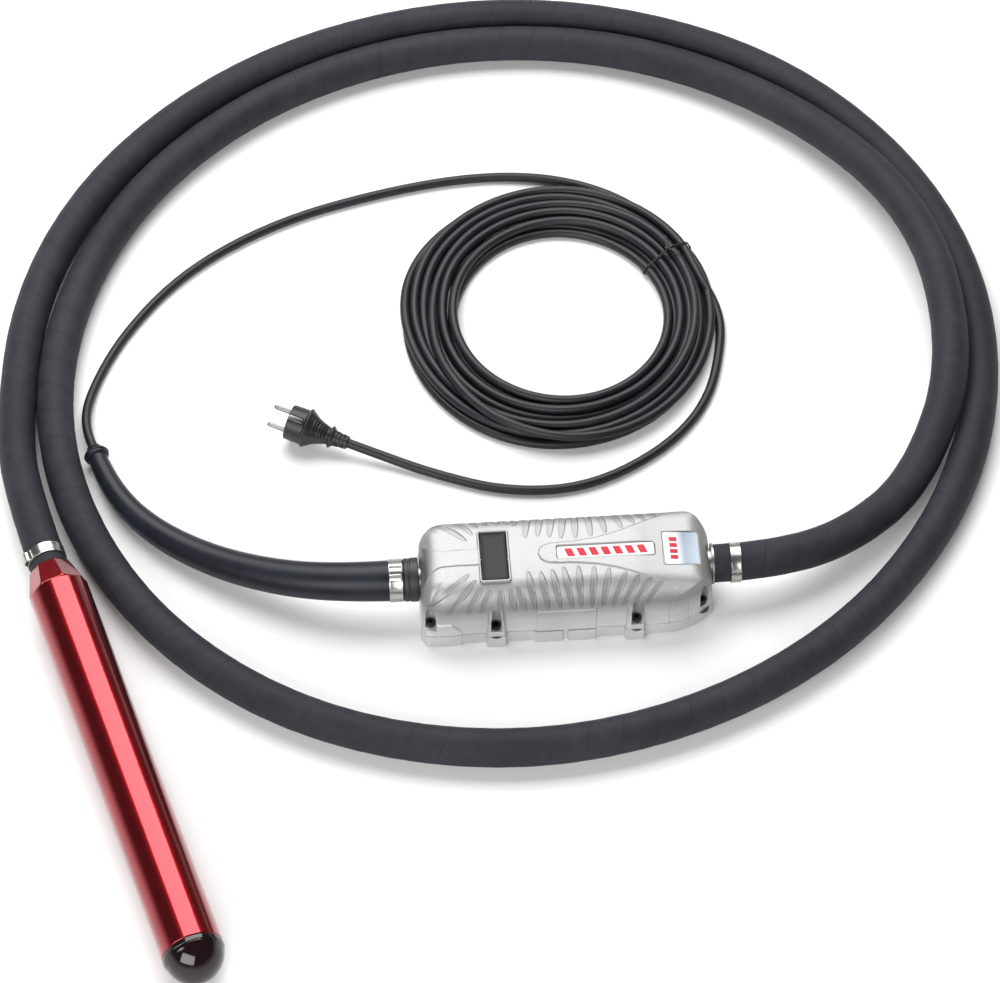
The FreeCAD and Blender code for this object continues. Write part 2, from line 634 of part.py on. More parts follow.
def nose_island(low_z, high_z):
    """Raised drop-shaped field on the top, widening towards the hose end."""
    edges = [
        Part.Arc(Vector(-14, 11.5, 0), Vector(-26, 0, 0), Vector(-14, -11.5, 0)),
        Part.LineSegment(Vector(-14, -11.5, 0), Vector(40, -14, 0)),
        Part.Arc(Vector(40, -14, 0), Vector(72, -21, 0), Vector(88, -31, 0)),
        Part.LineSegment(Vector(88, -31, 0), Vector(88, 31, 0)),
        Part.Arc(Vector(88, 31, 0), Vector(72, 21, 0), Vector(40, 14, 0)),
        Part.LineSegment(Vector(40, 14, 0), Vector(-14, 11.5, 0))]
    face = Part.Face(Part.Wire([edge.toShape() for edge in edges]))
    island = face.extrude(Vector(0, 0, high_z - low_z))
    island.translate(Vector(0, 0, low_z))
    return island


def lower_housing():
    tray = plan_form(0, 1.5, PARTING_Z - 0.6).cut(plan_form(WALL, 1.5 + WALL, PARTING_Z + 5))
    parts = [boss(x, y, 0, PARTING_Z - 0.6, 8.0) for x, y in screw_places()]
    back_y = BOX_HALF_WIDTH + BACK_EXTRA
    for low_x, high_x in ((-33, -5), (-1, 27)):
        parts += [box((low_x, -BOX_HALF_WIDTH - 2.2, 0), (high_x, -BOX_HALF_WIDTH + 5, PARTING_Z - 0.6)),
                  box((low_x, back_y - 5, 0), (high_x, back_y + 2.2, PARTING_Z - 0.6))]
    parts += [box((-138.5, low_y, 0), (-107, low_y + 11.5, PARTING_Z - 0.6))
              for low_y in (-BOX_HALF_WIDTH - 1.0, back_y - 10.5)]
    parts.append(box((-45, -24, 0), (45, 24, 2.5)))
    body = tray.fuse(parts)
    threads = [boss(x, y, 3.0, PARTING_Z + 1, SCREW_R) for x, y in screw_places()]
    return body.cut(group(threads)).removeSplitter()


def housing_gasket():
    """Flat rubber seal between the two shells, with eyes round the screws."""
    low_z = PARTING_Z - 0.6
    outer = plan_form(0.6, low_z, PARTING_Z)
    eyes = [boss(x, y, low_z, PARTING_Z, 7.4) for x, y in screw_places()]
    holes = [boss(x, y, low_z - 1, PARTING_Z + 1, SCREW_R + 0.35) for x, y in screw_places()]
    return outer.cut(plan_form(WALL, low_z - 1, PARTING_Z + 1)).fuse(eyes).cut(group(holes)).removeSplitter()


def housing_screws():
    screws = []
    for x, y in screw_places():
        shank = boss(x, y, 5.0, SCREW_SEAT_Z, SCREW_R)
        head = boss(x, y, SCREW_SEAT_Z, SCREW_SEAT_Z + SCREW_HEAD_H, SCREW_HEAD_R)
        hexagon = Part.makePolygon([
            Vector(x + 2.3 * math.cos(math.radians(60 * k)), y + 2.3 * math.sin(math.radians(60 * k)),
                   SCREW_SEAT_Z + 2.2) for k in range(7)])
        key = Part.Face(hexagon).extrude(Vector(0, 0, 5))
        screws.append(shank.fuse(head).cut(key).removeSplitter())
    return group(screws)


def switch_frame():
    """Black carrier under the rocker, held to the housing roof from inside."""
    outer = box((SWITCH_X - FRAME_HALF_X, -FRAME_HALF_Y, 64.5),
                (SWITCH_X + FRAME_HALF_X, FRAME_HALF_Y, FRAME_TOP_Z))
    well = box((SWITCH_X - SWITCH_HALF_X - SWITCH_GAP, -SWITCH_HALF_Y - SWITCH_GAP, 66.0),
               (SWITCH_X + SWITCH_HALF_X + SWITCH_GAP, SWITCH_HALF_Y + SWITCH_GAP, 75))
    pin_hole = Part.makeCylinder(PIVOT_R, 40, Vector(SWITCH_X - 20, 0, SWITCH_PIVOT_Z), Vector(1, 0, 0))
    return outer.cut(well).cut(pin_hole)


def switch_rocker():
    """Start and stop plate on a hub."""
    plate = box((SWITCH_X - SWITCH_HALF_X, -SWITCH_HALF_Y, 72.4),
                (SWITCH_X + SWITCH_HALF_X, SWITCH_HALF_Y, 75.2))
    hub = box((SWITCH_X - 8, -3, 67.2), (SWITCH_X + 8, 3, 72.4))
    bore = Part.makeCylinder(PIVOT_R + 0.05, 20, Vector(SWITCH_X - 10, 0, SWITCH_PIVOT_Z), Vector(1, 0, 0))
    return plate.fuse(hub).cut(bore).removeSplitter()


def switch_pivot_pin():
    length = 2 * FRAME_HALF_X
    start = Vector(SWITCH_X - FRAME_HALF_X, 0, SWITCH_PIVOT_Z)
    return Part.makeCylinder(PIVOT_R, length, start, Vector(1, 0, 0))


def rocker_magnets():
    return group([Part.makeCylinder(3.0, 1.5, Vector(SWITCH_X, y, 70.9)) for y in (-20, 20)])


def rocker_springs():
    """Two torsion springs wound on the pivot pin, one each side of the hub."""
    springs = []
    width = 3.4
    for side in (-1, 1):
        start = Vector(SWITCH_X + side * 8.6, 0, SWITCH_PIVOT_Z)
        coil = Part.makeCylinder(2.4, width, start, Vector(side, 0, 0))
        eye = Part.makeCylinder(PIVOT_R + 0.1, width, start, Vector(side, 0, 0))
        springs.append(coil.cut(eye))
    return group(springs)


def switch_sensor():
    return box((SWITCH_X - 9, -22, 58.0), (SWITCH_X + 9, 22, 64.5))


def circuit_board():
    board = box((-122, -35, 20.5), (112, 35, 22.1))
    holes = [boss(x, y, 19, 24, 1.6) for x, y in BOARD_SPOTS]
    return board.cut(group(holes))


def board_standoffs():
    posts = [boss(x, y, 1.5 + WALL, 20.5, 3.4).cut(boss(x, y, 12, 21, 1.3)) for x, y in BOARD_SPOTS]
    return group(posts)


def board_screws():
    screws = []
    for x, y in BOARD_SPOTS:
        screws.append(boss(x, y, 13, 22.1, 1.3).fuse(boss(x, y, 22.1, 24.1, 2.6)).removeSplitter())
    return group(screws)


def heat_sink():
    base = box((10, -31, 32.1), (76, 31, 36.1))
    fins = [box((10, -31 + 6.6 * index, 36.1), (76, -29 + 6.6 * index, 60)) for index in range(10)]
    return base.fuse(fins).removeSplitter()


def capacitors():
    return group([boss(-14, y, 22.1, 57.1, 11.5) for y in (-24, 0, 24)])


def choke():
    return Part.makeTorus(12.5, 5.0, Vector(-47, 0, 27.1))


def terminal_block(low_x):
    block = box((low_x, -15, 22.1), (low_x + 16, 15, 34.0))
    wells = [boss(low_x + 6, y, 28, 35, 2.4) for y in (-10, 0, 10)]
    return block.cut(group(wells))


def cores(points_x, outlet_x):
    """Three insulated wires from a cable's end to its terminal block."""
    wires = []
    for y, spread in ((-10, -2.4), (0, 0), (10, 2.4)):
        path = [(outlet_x, spread, OUTLET_Z), (points_x, y, 34.0)]
        start = Vector(*path[0])
        run = Vector(*path[1]) - start
        wires.append(Part.makeCylinder(1.1, run.Length, start, run))
    return group(wires)


def spigot(wall_x, side, length, flange_r, thread_r, bore_r):
    """Hose spigot through an end wall: barb outside, flange on the wall, thread inside."""
    outward = Vector(side, 0, 0)
    barb = turned([(bore_r, 0), (flange_r, 0), (flange_r, 2), (SPIGOT_R - 0.1, 2), (SPIGOT_R - 0.1, 8),
                   (SPIGOT_R - 0.9, 8), (SPIGOT_R - 0.1, 14), (SPIGOT_R - 0.9, 14), (SPIGOT_R - 0.1, 20),
                   (SPIGOT_R - 0.9, length), (bore_r, length)])
    thread = ring(bore_r, thread_r, -14, 14)
    return along(barb.fuse(thread).removeSplitter(), Vector(wall_x, 0, OUTLET_Z), outward)


def spigot_nut(wall_x, side, thread_r):
    across_r = thread_r + NUT_WALL
    hexagon = Part.makePolygon([Vector(across_r * math.cos(math.radians(60 * k)),
                                       across_r * math.sin(math.radians(60 * k)), 0) for k in range(7)])
    nut = Part.Face(hexagon).extrude(Vector(0, 0, NUT_HEIGHT)).cut(rod(thread_r + 0.05, -1, NUT_HEIGHT + 2))
    return along(nut, Vector(wall_x, 0, OUTLET_Z), Vector(-side, 0, 0))


def inlet_collar():
    start = Vector(-BOX_LENGTH / 2 - 14, 0, OUTLET_Z)
    collar = turned([(SPIGOT_R, 0), (20.2, 0), (21.0, 1), (21.0, 4), (20.3, 5), (21.2, 6.5), (21.2, 10),
                     (20.0, 13.8), (15.1, 13.8), (15.1, 11.9), (SPIGOT_R, 11.9)])
    return along(collar, start, Vector(1, 0, 0))


def badge_plate():
    gap = 0.6
    return box((BADGE_X[0] + gap, gap - BADGE_HALF_Y, BADGE_FLOOR_Z),
               (BADGE_X[1] - gap, BADGE_HALF_Y - gap, BADGE_FLOOR_Z + 1))


def label_insert():
    return box((-8.4, -7.9, SWITCH_TOP_Z - 2.0), (85.4, 7.9, SWITCH_TOP_Z - 1.2))


# ---------------------------------------------------------------- output
def write_head():
    write("head_tube", in_head(head_tube()))
    write("head_adapter", in_head(head_adapter()))
    write("head_tip", in_head(head_tip()))
    write("head_seals", in_head(group([seal(ADAPTER_SEAL), seal(TIP_SEAL)])))
    write("stator_core", in_head(stator_core()))
    write("stator_windings", in_head(stator_windings()))
    write("rotor_core", in_head(rotor_core()))
    write("rotor_shaft", in_head(rotor_shaft()))
    write("eccentric_weight", in_head(eccentric_weight()))
    write("shaft_circlips", in_head(shaft_circlips()))
    write("preload_washer", in_head(preload_washer()))
    write("lead_splice", in_head(lead_splice()))
    stations = list(BEARING_STATIONS.values())
    write("bearing_carriers", in_head(group([bearing_carrier(station) for station in stations])))
    write("outer_races", in_head(group(
        [ring(RACE_OUTER_R, BEARING_OUTER_R, station, BEARING_WIDTH) for station in stations])))
    write("inner_races", in_head(group(
        [ring(SHAFT_R, RACE_INNER_R, station, BEARING_WIDTH) for station in stations])))
    for name, station in BEARING_STATIONS.items():
        write(name + "_roller_set", in_head(group(bearing_rollers(station) + [bearing_cage(station)])))


def write_lines():
    hose_wire = rounded_route(HOSE_ROUTE, "main hose")
    write("main_hose", main_hose(hose_wire))
    head_end = HEAD_START + axis_vector(HEAD_HEADING) * 54
    lead_points = [tuple(head_end)] + HOSE_ROUTE[1:-1] + [(118, 0, OUTLET_Z)]
    write("motor_lead", tube(rounded_route(lead_points, "motor lead"), LEAD_R))
    write("tail_hose", tail_hose(rounded_route(TAIL_ROUTE, "tail hose")))
    inner_points = [(-122, 0, OUTLET_Z)] + TAIL_ROUTE[1:-1] + [SUPPLY_ROUTE[0]]
    write("inner_cable", tube(rounded_route(inner_points, "inner cable"), CABLE_R))
    write("tail_grommet", grommet())
    write("supply_cable", tube(rounded_route(SUPPLY_ROUTE, "supply cable"), CABLE_R))
    write("plug_cable", tube(rounded_route(plug_route(), "plug cable"), CABLE_R))
    write("cable_coil", cable_coil())
    write("cable_tie", cable_tie())
    write("head_hose_clamp", clamp_on(HEAD_START - axis_vector(HEAD_HEADING) * CLAMP_SETBACK,
                                      axis_vector(HEAD_HEADING), HOSE_R + 0.05, 13.0, -75))
    write("outlet_hose_clamp", clamp_on(Vector(161, 0, OUTLET_Z), Vector(1, 0, 0), HOSE_R + 0.05, 12.0, 70))
    write("tail_hose_clamp", clamp_on(Vector(-162, 0, OUTLET_Z), Vector(-1, 0, 0), TAIL_R_BOX, 13.0, 165))


def write_plug():
    write("plug_body", in_plug(plug_body()))
    write("plug_pins", in_plug(plug_pins()))
    write("plug_earth_clips", in_plug(plug_earth_clips()))
    write("plug_relief", in_plug(plug_relief()))


def write_converter():
    half = BOX_LENGTH / 2
    write("upper_housing", upper_housing())
    write("lower_housing", lower_housing())
    write("housing_gasket", housing_gasket())
    write("housing_screws", housing_screws())
    write("switch_frame", switch_frame())
    write("switch_rocker", switch_rocker())
    write("switch_pivot_pin", switch_pivot_pin())
    write("rocker_magnets", rocker_magnets())
    write("rocker_springs", rocker_springs())
    write("switch_sensor", switch_sensor())
    write("circuit_board", circuit_board())
    write("board_standoffs", board_standoffs())
    write("board_screws", board_screws())
    write("power_module", box((16, -20, 22.1), (70, 20, 32.1)))
    write("heat_sink", heat_sink())
    write("capacitors", capacitors())
    write("choke", choke())
    write("line_filter", box((-94, -14, 22.1), (-70, 14, 44)))
    write("mains_terminals", group([terminal_block(-118), cores(-112, -120.8)]))
    write("motor_terminals", group([terminal_block(92), cores(98, 116.8)]))
    write("outlet_spigot", spigot(half, 1, 29, 19.6, OUTLET_THREAD_R, LEAD_R + 1))
    write("inlet_spigot", spigot(-half, -1, 32, 15.0, INLET_THREAD_R, CABLE_R + 0.9))
    write("spigot_nuts", group([spigot_nut(half - WALL, 1, OUTLET_THREAD_R),
                                spigot_nut(WALL - half, -1, INLET_THREAD_R)]))
    write("inlet_collar", inlet_collar())
    write("badge_plate", badge_plate())
    write("label_insert", label_insert())


os.makedirs("parts", exist_ok=True)
write_head()
write_lines()
write_plug()
write_converter()
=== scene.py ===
import json
import math

import bmesh
import bpy
import numpy as np
from mathutils import Matrix, Vector

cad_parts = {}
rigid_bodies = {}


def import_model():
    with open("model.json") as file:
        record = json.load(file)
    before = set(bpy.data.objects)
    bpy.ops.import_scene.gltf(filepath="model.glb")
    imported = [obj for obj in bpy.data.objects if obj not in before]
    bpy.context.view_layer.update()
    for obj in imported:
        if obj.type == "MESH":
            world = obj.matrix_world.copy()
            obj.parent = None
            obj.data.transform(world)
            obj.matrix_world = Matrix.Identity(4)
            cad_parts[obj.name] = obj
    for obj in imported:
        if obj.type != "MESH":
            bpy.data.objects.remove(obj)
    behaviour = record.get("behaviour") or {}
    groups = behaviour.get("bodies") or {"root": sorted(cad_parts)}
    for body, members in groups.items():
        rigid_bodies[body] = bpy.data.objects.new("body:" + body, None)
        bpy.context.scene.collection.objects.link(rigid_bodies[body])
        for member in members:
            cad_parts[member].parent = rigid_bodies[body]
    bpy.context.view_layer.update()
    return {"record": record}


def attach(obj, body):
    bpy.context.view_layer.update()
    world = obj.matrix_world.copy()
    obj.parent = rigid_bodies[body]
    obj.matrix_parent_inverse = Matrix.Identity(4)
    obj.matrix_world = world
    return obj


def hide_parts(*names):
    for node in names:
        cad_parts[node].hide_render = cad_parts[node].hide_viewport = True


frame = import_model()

# Poker vibrator for concrete, in metres. Origin: the floor point under the middle of the
# converter. +X runs along the converter to its hose end, +Y away from the viewer, +Z up.

# ---------------------------------------------------------------- driving dimensions
MM = 0.001
CAMERA_PLACE = (-0.2104, -2.2310, 3.1436)
CAMERA_TARGET = (-0.0534, 0.1327, 0.0)
CAMERA_LENS = 144.0

HEAD_START = Vector((-0.4917, 0.044, 0.029))
HEAD_HEADING = math.radians(-73.5)
HOSE_R = 0.0185
TAIL_R_BOX = 0.0200
TAIL_R_END = 0.0095
CABLE_R = 0.00475

PLUG_FRONT = Vector((-0.2574, 0.2156, 0.0235))
PLUG_HEADING = math.radians(-23.0)
PLUG_DROP = math.radians(8.0)
PLUG_ROLL = math.radians(20.0)
PLUG_LENGTH = 0.063

COIL_CENTRE = Vector((0.016, 0.348, 0.0))
COIL_TURNS = 10
COIL_STEPS = 32                     # points in each turn
COIL_ENTRY = math.radians(39.0)     # where the supply cable joins, seen from the centre
TIE_ANGLE = math.radians(28.0)
WRAP_PITCH = 0.033                  # of the cloth wrap's marks on the main hose

# ---------------------------------------------------------------- routes (centre lines)
HOSE_ROUTE = [
    (-0.4917, 0.044, 0.029), (-0.512, 0.113, 0.029), (-0.531, 0.216, 0.0185), (-0.513, 0.413, 0.0185),
    (-0.420, 0.583, 0.0185), (-0.269, 0.705, 0.0185), (-0.084, 0.762, 0.0185), (0.106, 0.747, 0.0185),
    (0.284, 0.657, 0.0185), (0.406, 0.497, 0.0185), (0.450, 0.305, 0.0185), (0.410, 0.110, 0.0185),
    (0.296, -0.051, 0.0185), (0.135, -0.154, 0.0185), (-0.055, -0.191, 0.0185), (-0.246, -0.147, 0.0185),
    (-0.395, -0.029, 0.0185), (-0.483, 0.141, 0.0185), (-0.493, 0.327, 0.0185), (-0.421, 0.514, 0.0185),
    (-0.280, 0.652, 0.0185), (-0.096, 0.722, 0.0185), (0.103, 0.710, 0.0185), (0.279, 0.610, 0.024),
    (0.399, 0.439, 0.042), (0.413, 0.236, 0.048), (0.355, 0.102, 0.023), (0.277, 0.034, 0.027),
    (0.196, 0.0, 0.044), (0.142, 0.0, 0.044)]

TAIL_ROUTE = [
    (-0.154, 0.0, 0.044), (-0.204, 0.0, 0.044), (-0.272, 0.019, 0.031), (-0.340, 0.054, 0.0185),
    (-0.398, 0.099, 0.014), (-0.435, 0.151, 0.013), (-0.447, 0.190, 0.0127)]

SUPPLY_ROUTE = [
    (-0.45115, 0.2035, 0.0126), (-0.461, 0.230, 0.012), (-0.454, 0.282, 0.00475), (-0.419, 0.356, 0.00475),
    (-0.356, 0.433, 0.00475), (-0.264, 0.491, 0.00475), (-0.160, 0.524, 0.00475),
    (-0.056, 0.542, 0.00475), (0.030, 0.535, 0.00475), (0.100, 0.500, 0.006), (0.140, 0.446, 0.010)]

PLUG_ROUTE_TAIL = [
    (-0.120, 0.156, 0.00475), (-0.047, 0.128, 0.00475), (0.034, 0.128, 0.00475), (0.114, 0.171, 0.00475),
    (0.163, 0.229, 0.00475), (0.183, 0.306, 0.00475), (0.183, 0.345, 0.007), (0.166, 0.384, 0.016)]


MATERIALS = {}                      # by name, filled before any piece is made


# ---------------------------------------------------------------- placing
def heading_vector(heading, drop=0.0):
    flat = math.cos(drop)
    return Vector((flat * math.cos(heading), flat * math.sin(heading), -math.sin(drop)))


def along_matrix(start, direction):
    """Turns +Z to direction, with the local +X side facing down."""
    z_axis = Vector(direction).normalized()
    y_axis = z_axis.cross(Vector((0, 0, -1))).normalized()
    x_axis = y_axis.cross(z_axis)
    return Matrix.Translation(start) @ Matrix((x_axis, y_axis, z_axis)).transposed().to_4x4()


HEAD_AXIS = heading_vector(HEAD_HEADING)
HEAD_MATRIX = along_matrix(HEAD_START, HEAD_AXIS)
PLUG_AXIS = heading_vector(PLUG_HEADING, PLUG_DROP)
PLUG_MATRIX = along_matrix(PLUG_FRONT, PLUG_AXIS) @ Matrix.Rotation(PLUG_ROLL, 4, "Z")


# ---------------------------------------------------------------- meshes
def linked(name, data):
    """A new object of the scene that shows a mesh, camera or light."""
    thing = bpy.data.objects.new(name, data)
    bpy.context.scene.collection.objects.link(thing)
    return thing


def make_object(name, points, faces, sharp_deg=40.0, uvs=None, matrix=None):
    """Links a smooth-shaded mesh object that is sharp over the given edge angle."""
    mesh = bpy.data.meshes.new(name)
    mesh.from_pydata([tuple(p) for p in points], [], faces)
    if matrix is not None:
        mesh.transform(matrix)
    if uvs is not None:
        layer = mesh.uv_layers.new(name="UVMap")
        corner_vertices = np.zeros(len(mesh.loops), int)
        mesh.loops.foreach_get("vertex_index", corner_vertices)
        layer.data.foreach_set("uv", uvs(corner_vertices).ravel())
    mesh.polygons.foreach_set("use_smooth", [True] * len(mesh.polygons))
    mesh.set_sharp_from_angle(angle=math.radians(sharp_deg))
    return linked(name, mesh)


def grid_faces(rows, columns, first=0, flipped=False, ring=False):
    """Four-sided faces of a grid of points whose columns close round; in a ring the rows do too."""
    faces = []
    for row in range(rows if ring else rows - 1):
        low = first + row * columns
        high = first + (row + 1) % rows * columns
        for column in range(columns):
            beside = (column + 1) % columns
            corners = (low + column, low + beside, high + beside, high + column)
            faces.append(corners[::-1] if flipped else corners)
    return faces


def cap_faces(rows, columns):
    """Flat faces over the first and the last row of such a grid."""
    last = (rows - 1) * columns
    return [tuple(reversed(range(columns))), tuple(range(last, last + columns))]


def route_path(points, samples_per_point):
    """Points along the smooth line that a route's control points make."""
    data = bpy.data.curves.new("route", "CURVE")
    data.dimensions = "3D"
    data.resolution_u = samples_per_point
    spline = data.splines.new("NURBS")
    spline.points.add(len(points) - 1)
    for control, place in zip(spline.points, points):
        control.co = (*place, 1.0)
    spline.order_u = 3
    spline.use_endpoint_u = True
    holder = bpy.data.objects.new("route", data)
    line = bpy.data.meshes.new_from_object(holder)
    path = [vertex.co.copy() for vertex in line.vertices]
    bpy.data.objects.remove(holder)
    bpy.data.curves.remove(data)
    bpy.data.meshes.remove(line)
    return path


def path_distances(path):
    steps = [(b - a).length for a, b in zip(path, path[1:])]
    return np.concatenate([[0.0], np.cumsum(steps)])


def respaced(path, spacing):
    """The same line with evenly spaced points."""
    distances = path_distances(path)
    count = max(2, round(distances[-1] / spacing) + 1)
    wanted = np.linspace(0.0, distances[-1], count)
    columns = np.array([tuple(p) for p in path])
    return [Vector(p) for p in np.stack([np.interp(wanted, distances, c) for c in columns.T], -1)]


def path_frames(path):
    """Two side vectors at each point, turned as little as possible along the line."""
    tangents = [(b - a).normalized() for a, b in zip(path, path[1:])]
    tangents.append(tangents[-1])
    side = tangents[0].orthogonal().normalized()
    frames = []
    for tangent in tangents:
        side = (side - tangent * side.dot(tangent)).normalized()
        frames.append((side, tangent.cross(side)))
    return frames


def tube(name, path, radius, sides):
    """Round tube along a path. radius is in metres, or a function of distance and angle arrays."""
    distances = path_distances(path)
    angles = np.arange(sides) * 2 * math.pi / sides
    if callable(radius):
        radius = radius(distances[:, None], angles[None, :])
    radii = np.broadcast_to(radius, (len(path), sides))
    sides_xyz = np.array([[tuple(a), tuple(b)] for a, b in path_frames(path)])
    round_xyz = (np.cos(angles)[None, :, None] * sides_xyz[:, 0][:, None, :]
                 + np.sin(angles)[None, :, None] * sides_xyz[:, 1][:, None, :])
    centres = np.array([tuple(p) for p in path])
    points = (centres[:, None, :] + radii[:, :, None] * round_xyz).reshape(-1, 3)
    faces = grid_faces(len(path), sides) + cap_faces(len(path), sides)
    wall_corners = 4 * sides * (len(path) - 1)

    def uvs(corner_vertices):
        """Distance along and turn round, with the last column of the wall ending at a full turn."""
        row, column = np.divmod(corner_vertices, sides)
        corner = np.arange(len(column))
        wraps = (column == 0) & (corner < wall_corners) & np.isin(corner % 4, (1, 2))
        return np.stack([distances[row], np.where(wraps, 1.0, column / sides)], -1)

    return make_object(name, points, faces, uvs=uvs)


def finish(piece, slot, look=None):
    """Gives a piece the material named by look, or else the one named by slot."""
    piece.data.materials.append(MATERIALS[look or slot])


def stands_for(piece, slot, *nodes, body="base", look=None):
    """Puts a finished piece on a body, in place of the named nodes."""
    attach(piece, body)
    if nodes:
        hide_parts(*nodes)
    finish(piece, slot, look)
    return piece


# ---------------------------------------------------------------- materials
class Surface:
    """A Principled material, kept in MATERIALS, and short ways to add procedural detail to it."""

    def __init__(self, name, colour, roughness, metallic=0.0, **sockets):
        MATERIALS[name] = material = bpy.data.materials.new(name)
        material.use_nodes = True
        self.nodes = material.node_tree.nodes
        self.links = material.node_tree.links
        self.shader = self.nodes["Principled BSDF"]
        self.shader.inputs["Base Color"].default_value = (*colour, 1.0)
        self.shader.inputs["Roughness"].default_value = roughness
        self.shader.inputs["Metallic"].default_value = metallic
        for socket, value in sockets.items():
            title = socket.replace("_", " ").title().replace("Ior", "IOR")
            self.shader.inputs[title].default_value = value
        self.coordinates = self.nodes.new("ShaderNodeTexCoord")

    def place(self, scale=(1.0, 1.0, 1.0)):
        mapping = self.nodes.new("ShaderNodeMapping")
        mapping.inputs["Scale"].default_value = scale
        self.links.new(self.coordinates.outputs["Object"], mapping.inputs["Vector"])
        return mapping.outputs["Vector"]

    def noise(self, scale, detail=3.0, roughness=0.6, vector=None):
        node = self.nodes.new("ShaderNodeTexNoise")
        node.inputs["Scale"].default_value = scale
        node.inputs["Detail"].default_value = detail
        node.inputs["Roughness"].default_value = roughness
        self.links.new(vector or self.place(), node.inputs["Vector"])
        return node.outputs["Fac"]

    def voronoi(self, scale):
        node = self.nodes.new("ShaderNodeTexVoronoi")
        node.inputs["Scale"].default_value = scale
        self.links.new(self.place(), node.inputs["Vector"])
        return node.outputs["Distance"]

    def math(self, operation, *values, clamp=False):
        node = self.nodes.new("ShaderNodeMath")
        node.operation = operation
        node.use_clamp = clamp
        for socket, value in zip(node.inputs, values):
            if isinstance(value, (int, float)):
                socket.default_value = value
            else:
                self.links.new(value, socket)
        return node.outputs["Value"]

    def mix(self, first, second, share):
        return self.math("MULTIPLY_ADD", first, share, self.math("MULTIPLY", second, 1.0 - share))

    def ramp(self, value, stops):
        node = self.nodes.new("ShaderNodeValToRGB")
        elements = node.color_ramp.elements
        while len(elements) < len(stops):
            elements.new(0.5)
        for element, (place, colour) in zip(elements, stops):
            element.position = place
            element.color = (*colour, 1.0)
        self.links.new(value, node.inputs["Fac"])
        return node.outputs["Color"]

    def colour(self, value, stops):
        self.links.new(self.ramp(value, stops), self.shader.inputs["Base Color"])

    def roughness(self, value, low, high):
        spread = self.nodes.new("ShaderNodeMapRange")
        spread.inputs["To Min"].default_value = low
        spread.inputs["To Max"].default_value = high
        self.links.new(value, spread.inputs["Value"])
        self.links.new(spread.outputs["Result"], self.shader.inputs["Roughness"])

    def bump(self, height, distance, strength=1.0):
        node = self.nodes.new("ShaderNodeBump")
        node.inputs["Distance"].default_value = distance
        node.inputs["Strength"].default_value = strength
        self.links.new(height, node.inputs["Height"])
        if self.shader.inputs["Normal"].is_linked:
            self.links.new(self.shader.inputs["Normal"].links[0].from_socket, node.inputs["Normal"])
        self.links.new(node.outputs["Normal"], self.shader.inputs["Normal"])

    def split(self, vector):
        node = self.nodes.new("ShaderNodeSeparateXYZ")
        self.links.new(vector, node.inputs["Vector"])
        return node.outputs

    def split_uv(self):
        return self.split(self.coordinates.outputs["UV"])[:2]


def hose_rubber():
    """Matte rubber cured under a cloth wrap, which leaves a fine weave and slanting edges."""
    surface = Surface("hose_rubber", (0.018, 0.020, 0.024), 0.6, specular_ior_level=0.22)
    length, around = surface.split_uv()
    turn = surface.math("FRACT", surface.math("ADD", surface.math("DIVIDE", length, WRAP_PITCH), around))
    edge = surface.math("COMPARE", turn, 0.5, 0.012)
    mottle = surface.noise(60.0, 4.0)
    clouds = surface.noise(9.0, 2.0)
    tone = surface.mix(mottle, clouds, 0.55)
    faded_edge = surface.math("MULTIPLY", edge, surface.math("GREATER_THAN", clouds, 0.44))
    tone = surface.math("SUBTRACT", tone, surface.math("MULTIPLY", faded_edge, 0.45))
    surface.colour(tone, [(0.28, (0.011, 0.0125, 0.016)), (0.5, (0.019, 0.021, 0.027)),
                          (0.72, (0.029, 0.032, 0.040))])
    surface.roughness(mottle, 0.52, 0.74)
    weave = surface.math("MULTIPLY",
                         surface.math("SINE", surface.math("MULTIPLY", length, 2 * math.pi / 0.0012)),
                         surface.math("SINE", surface.math("MULTIPLY", around, 2 * math.pi * 96)))
    surface.bump(weave, 0.00008, 0.6)
    surface.bump(surface.math("SUBTRACT", 1.0, edge), 0.0003, 0.5)
    surface.bump(surface.noise(350.0, 3.0), 0.0002, 0.35)


def tail_rubber():
    """Glossy moulded rubber with a faint skin texture."""
    surface = Surface("tail_rubber", (0.012, 0.014, 0.020), 0.4, specular_ior_level=0.24)
    smudge = surface.noise(30.0, 4.0)
    surface.colour(smudge, [(0.3, (0.007, 0.008, 0.012)), (0.7, (0.014, 0.016, 0.024))])
    surface.roughness(smudge, 0.34, 0.46)
    surface.bump(surface.noise(600.0, 2.0), 0.0001, 0.25)


def cable_rubber():
    """Satin cable sheath with faint drawing lines along it."""
    surface = Surface("cable_rubber", (0.012, 0.014, 0.015), 0.42, specular_ior_level=0.35)
    length, around = surface.split_uv()
    lines = surface.nodes.new("ShaderNodeCombineXYZ")
    surface.links.new(surface.math("MULTIPLY", length, 4.0), lines.inputs["X"])
    surface.links.new(surface.math("MULTIPLY", around, 40.0), lines.inputs["Y"])
    drawn = surface.noise(1.0, 3.0, vector=lines.outputs["Vector"])
    dust = surface.noise(45.0, 5.0)
    surface.colour(surface.mix(drawn, dust, 0.3),
                   [(0.3, (0.005, 0.006, 0.0075)), (0.55, (0.009, 0.0105, 0.013)), (0.8, (0.019, 0.022, 0.026))])
    surface.roughness(dust, 0.36, 0.55)
    surface.bump(drawn, 0.0001, 0.3)


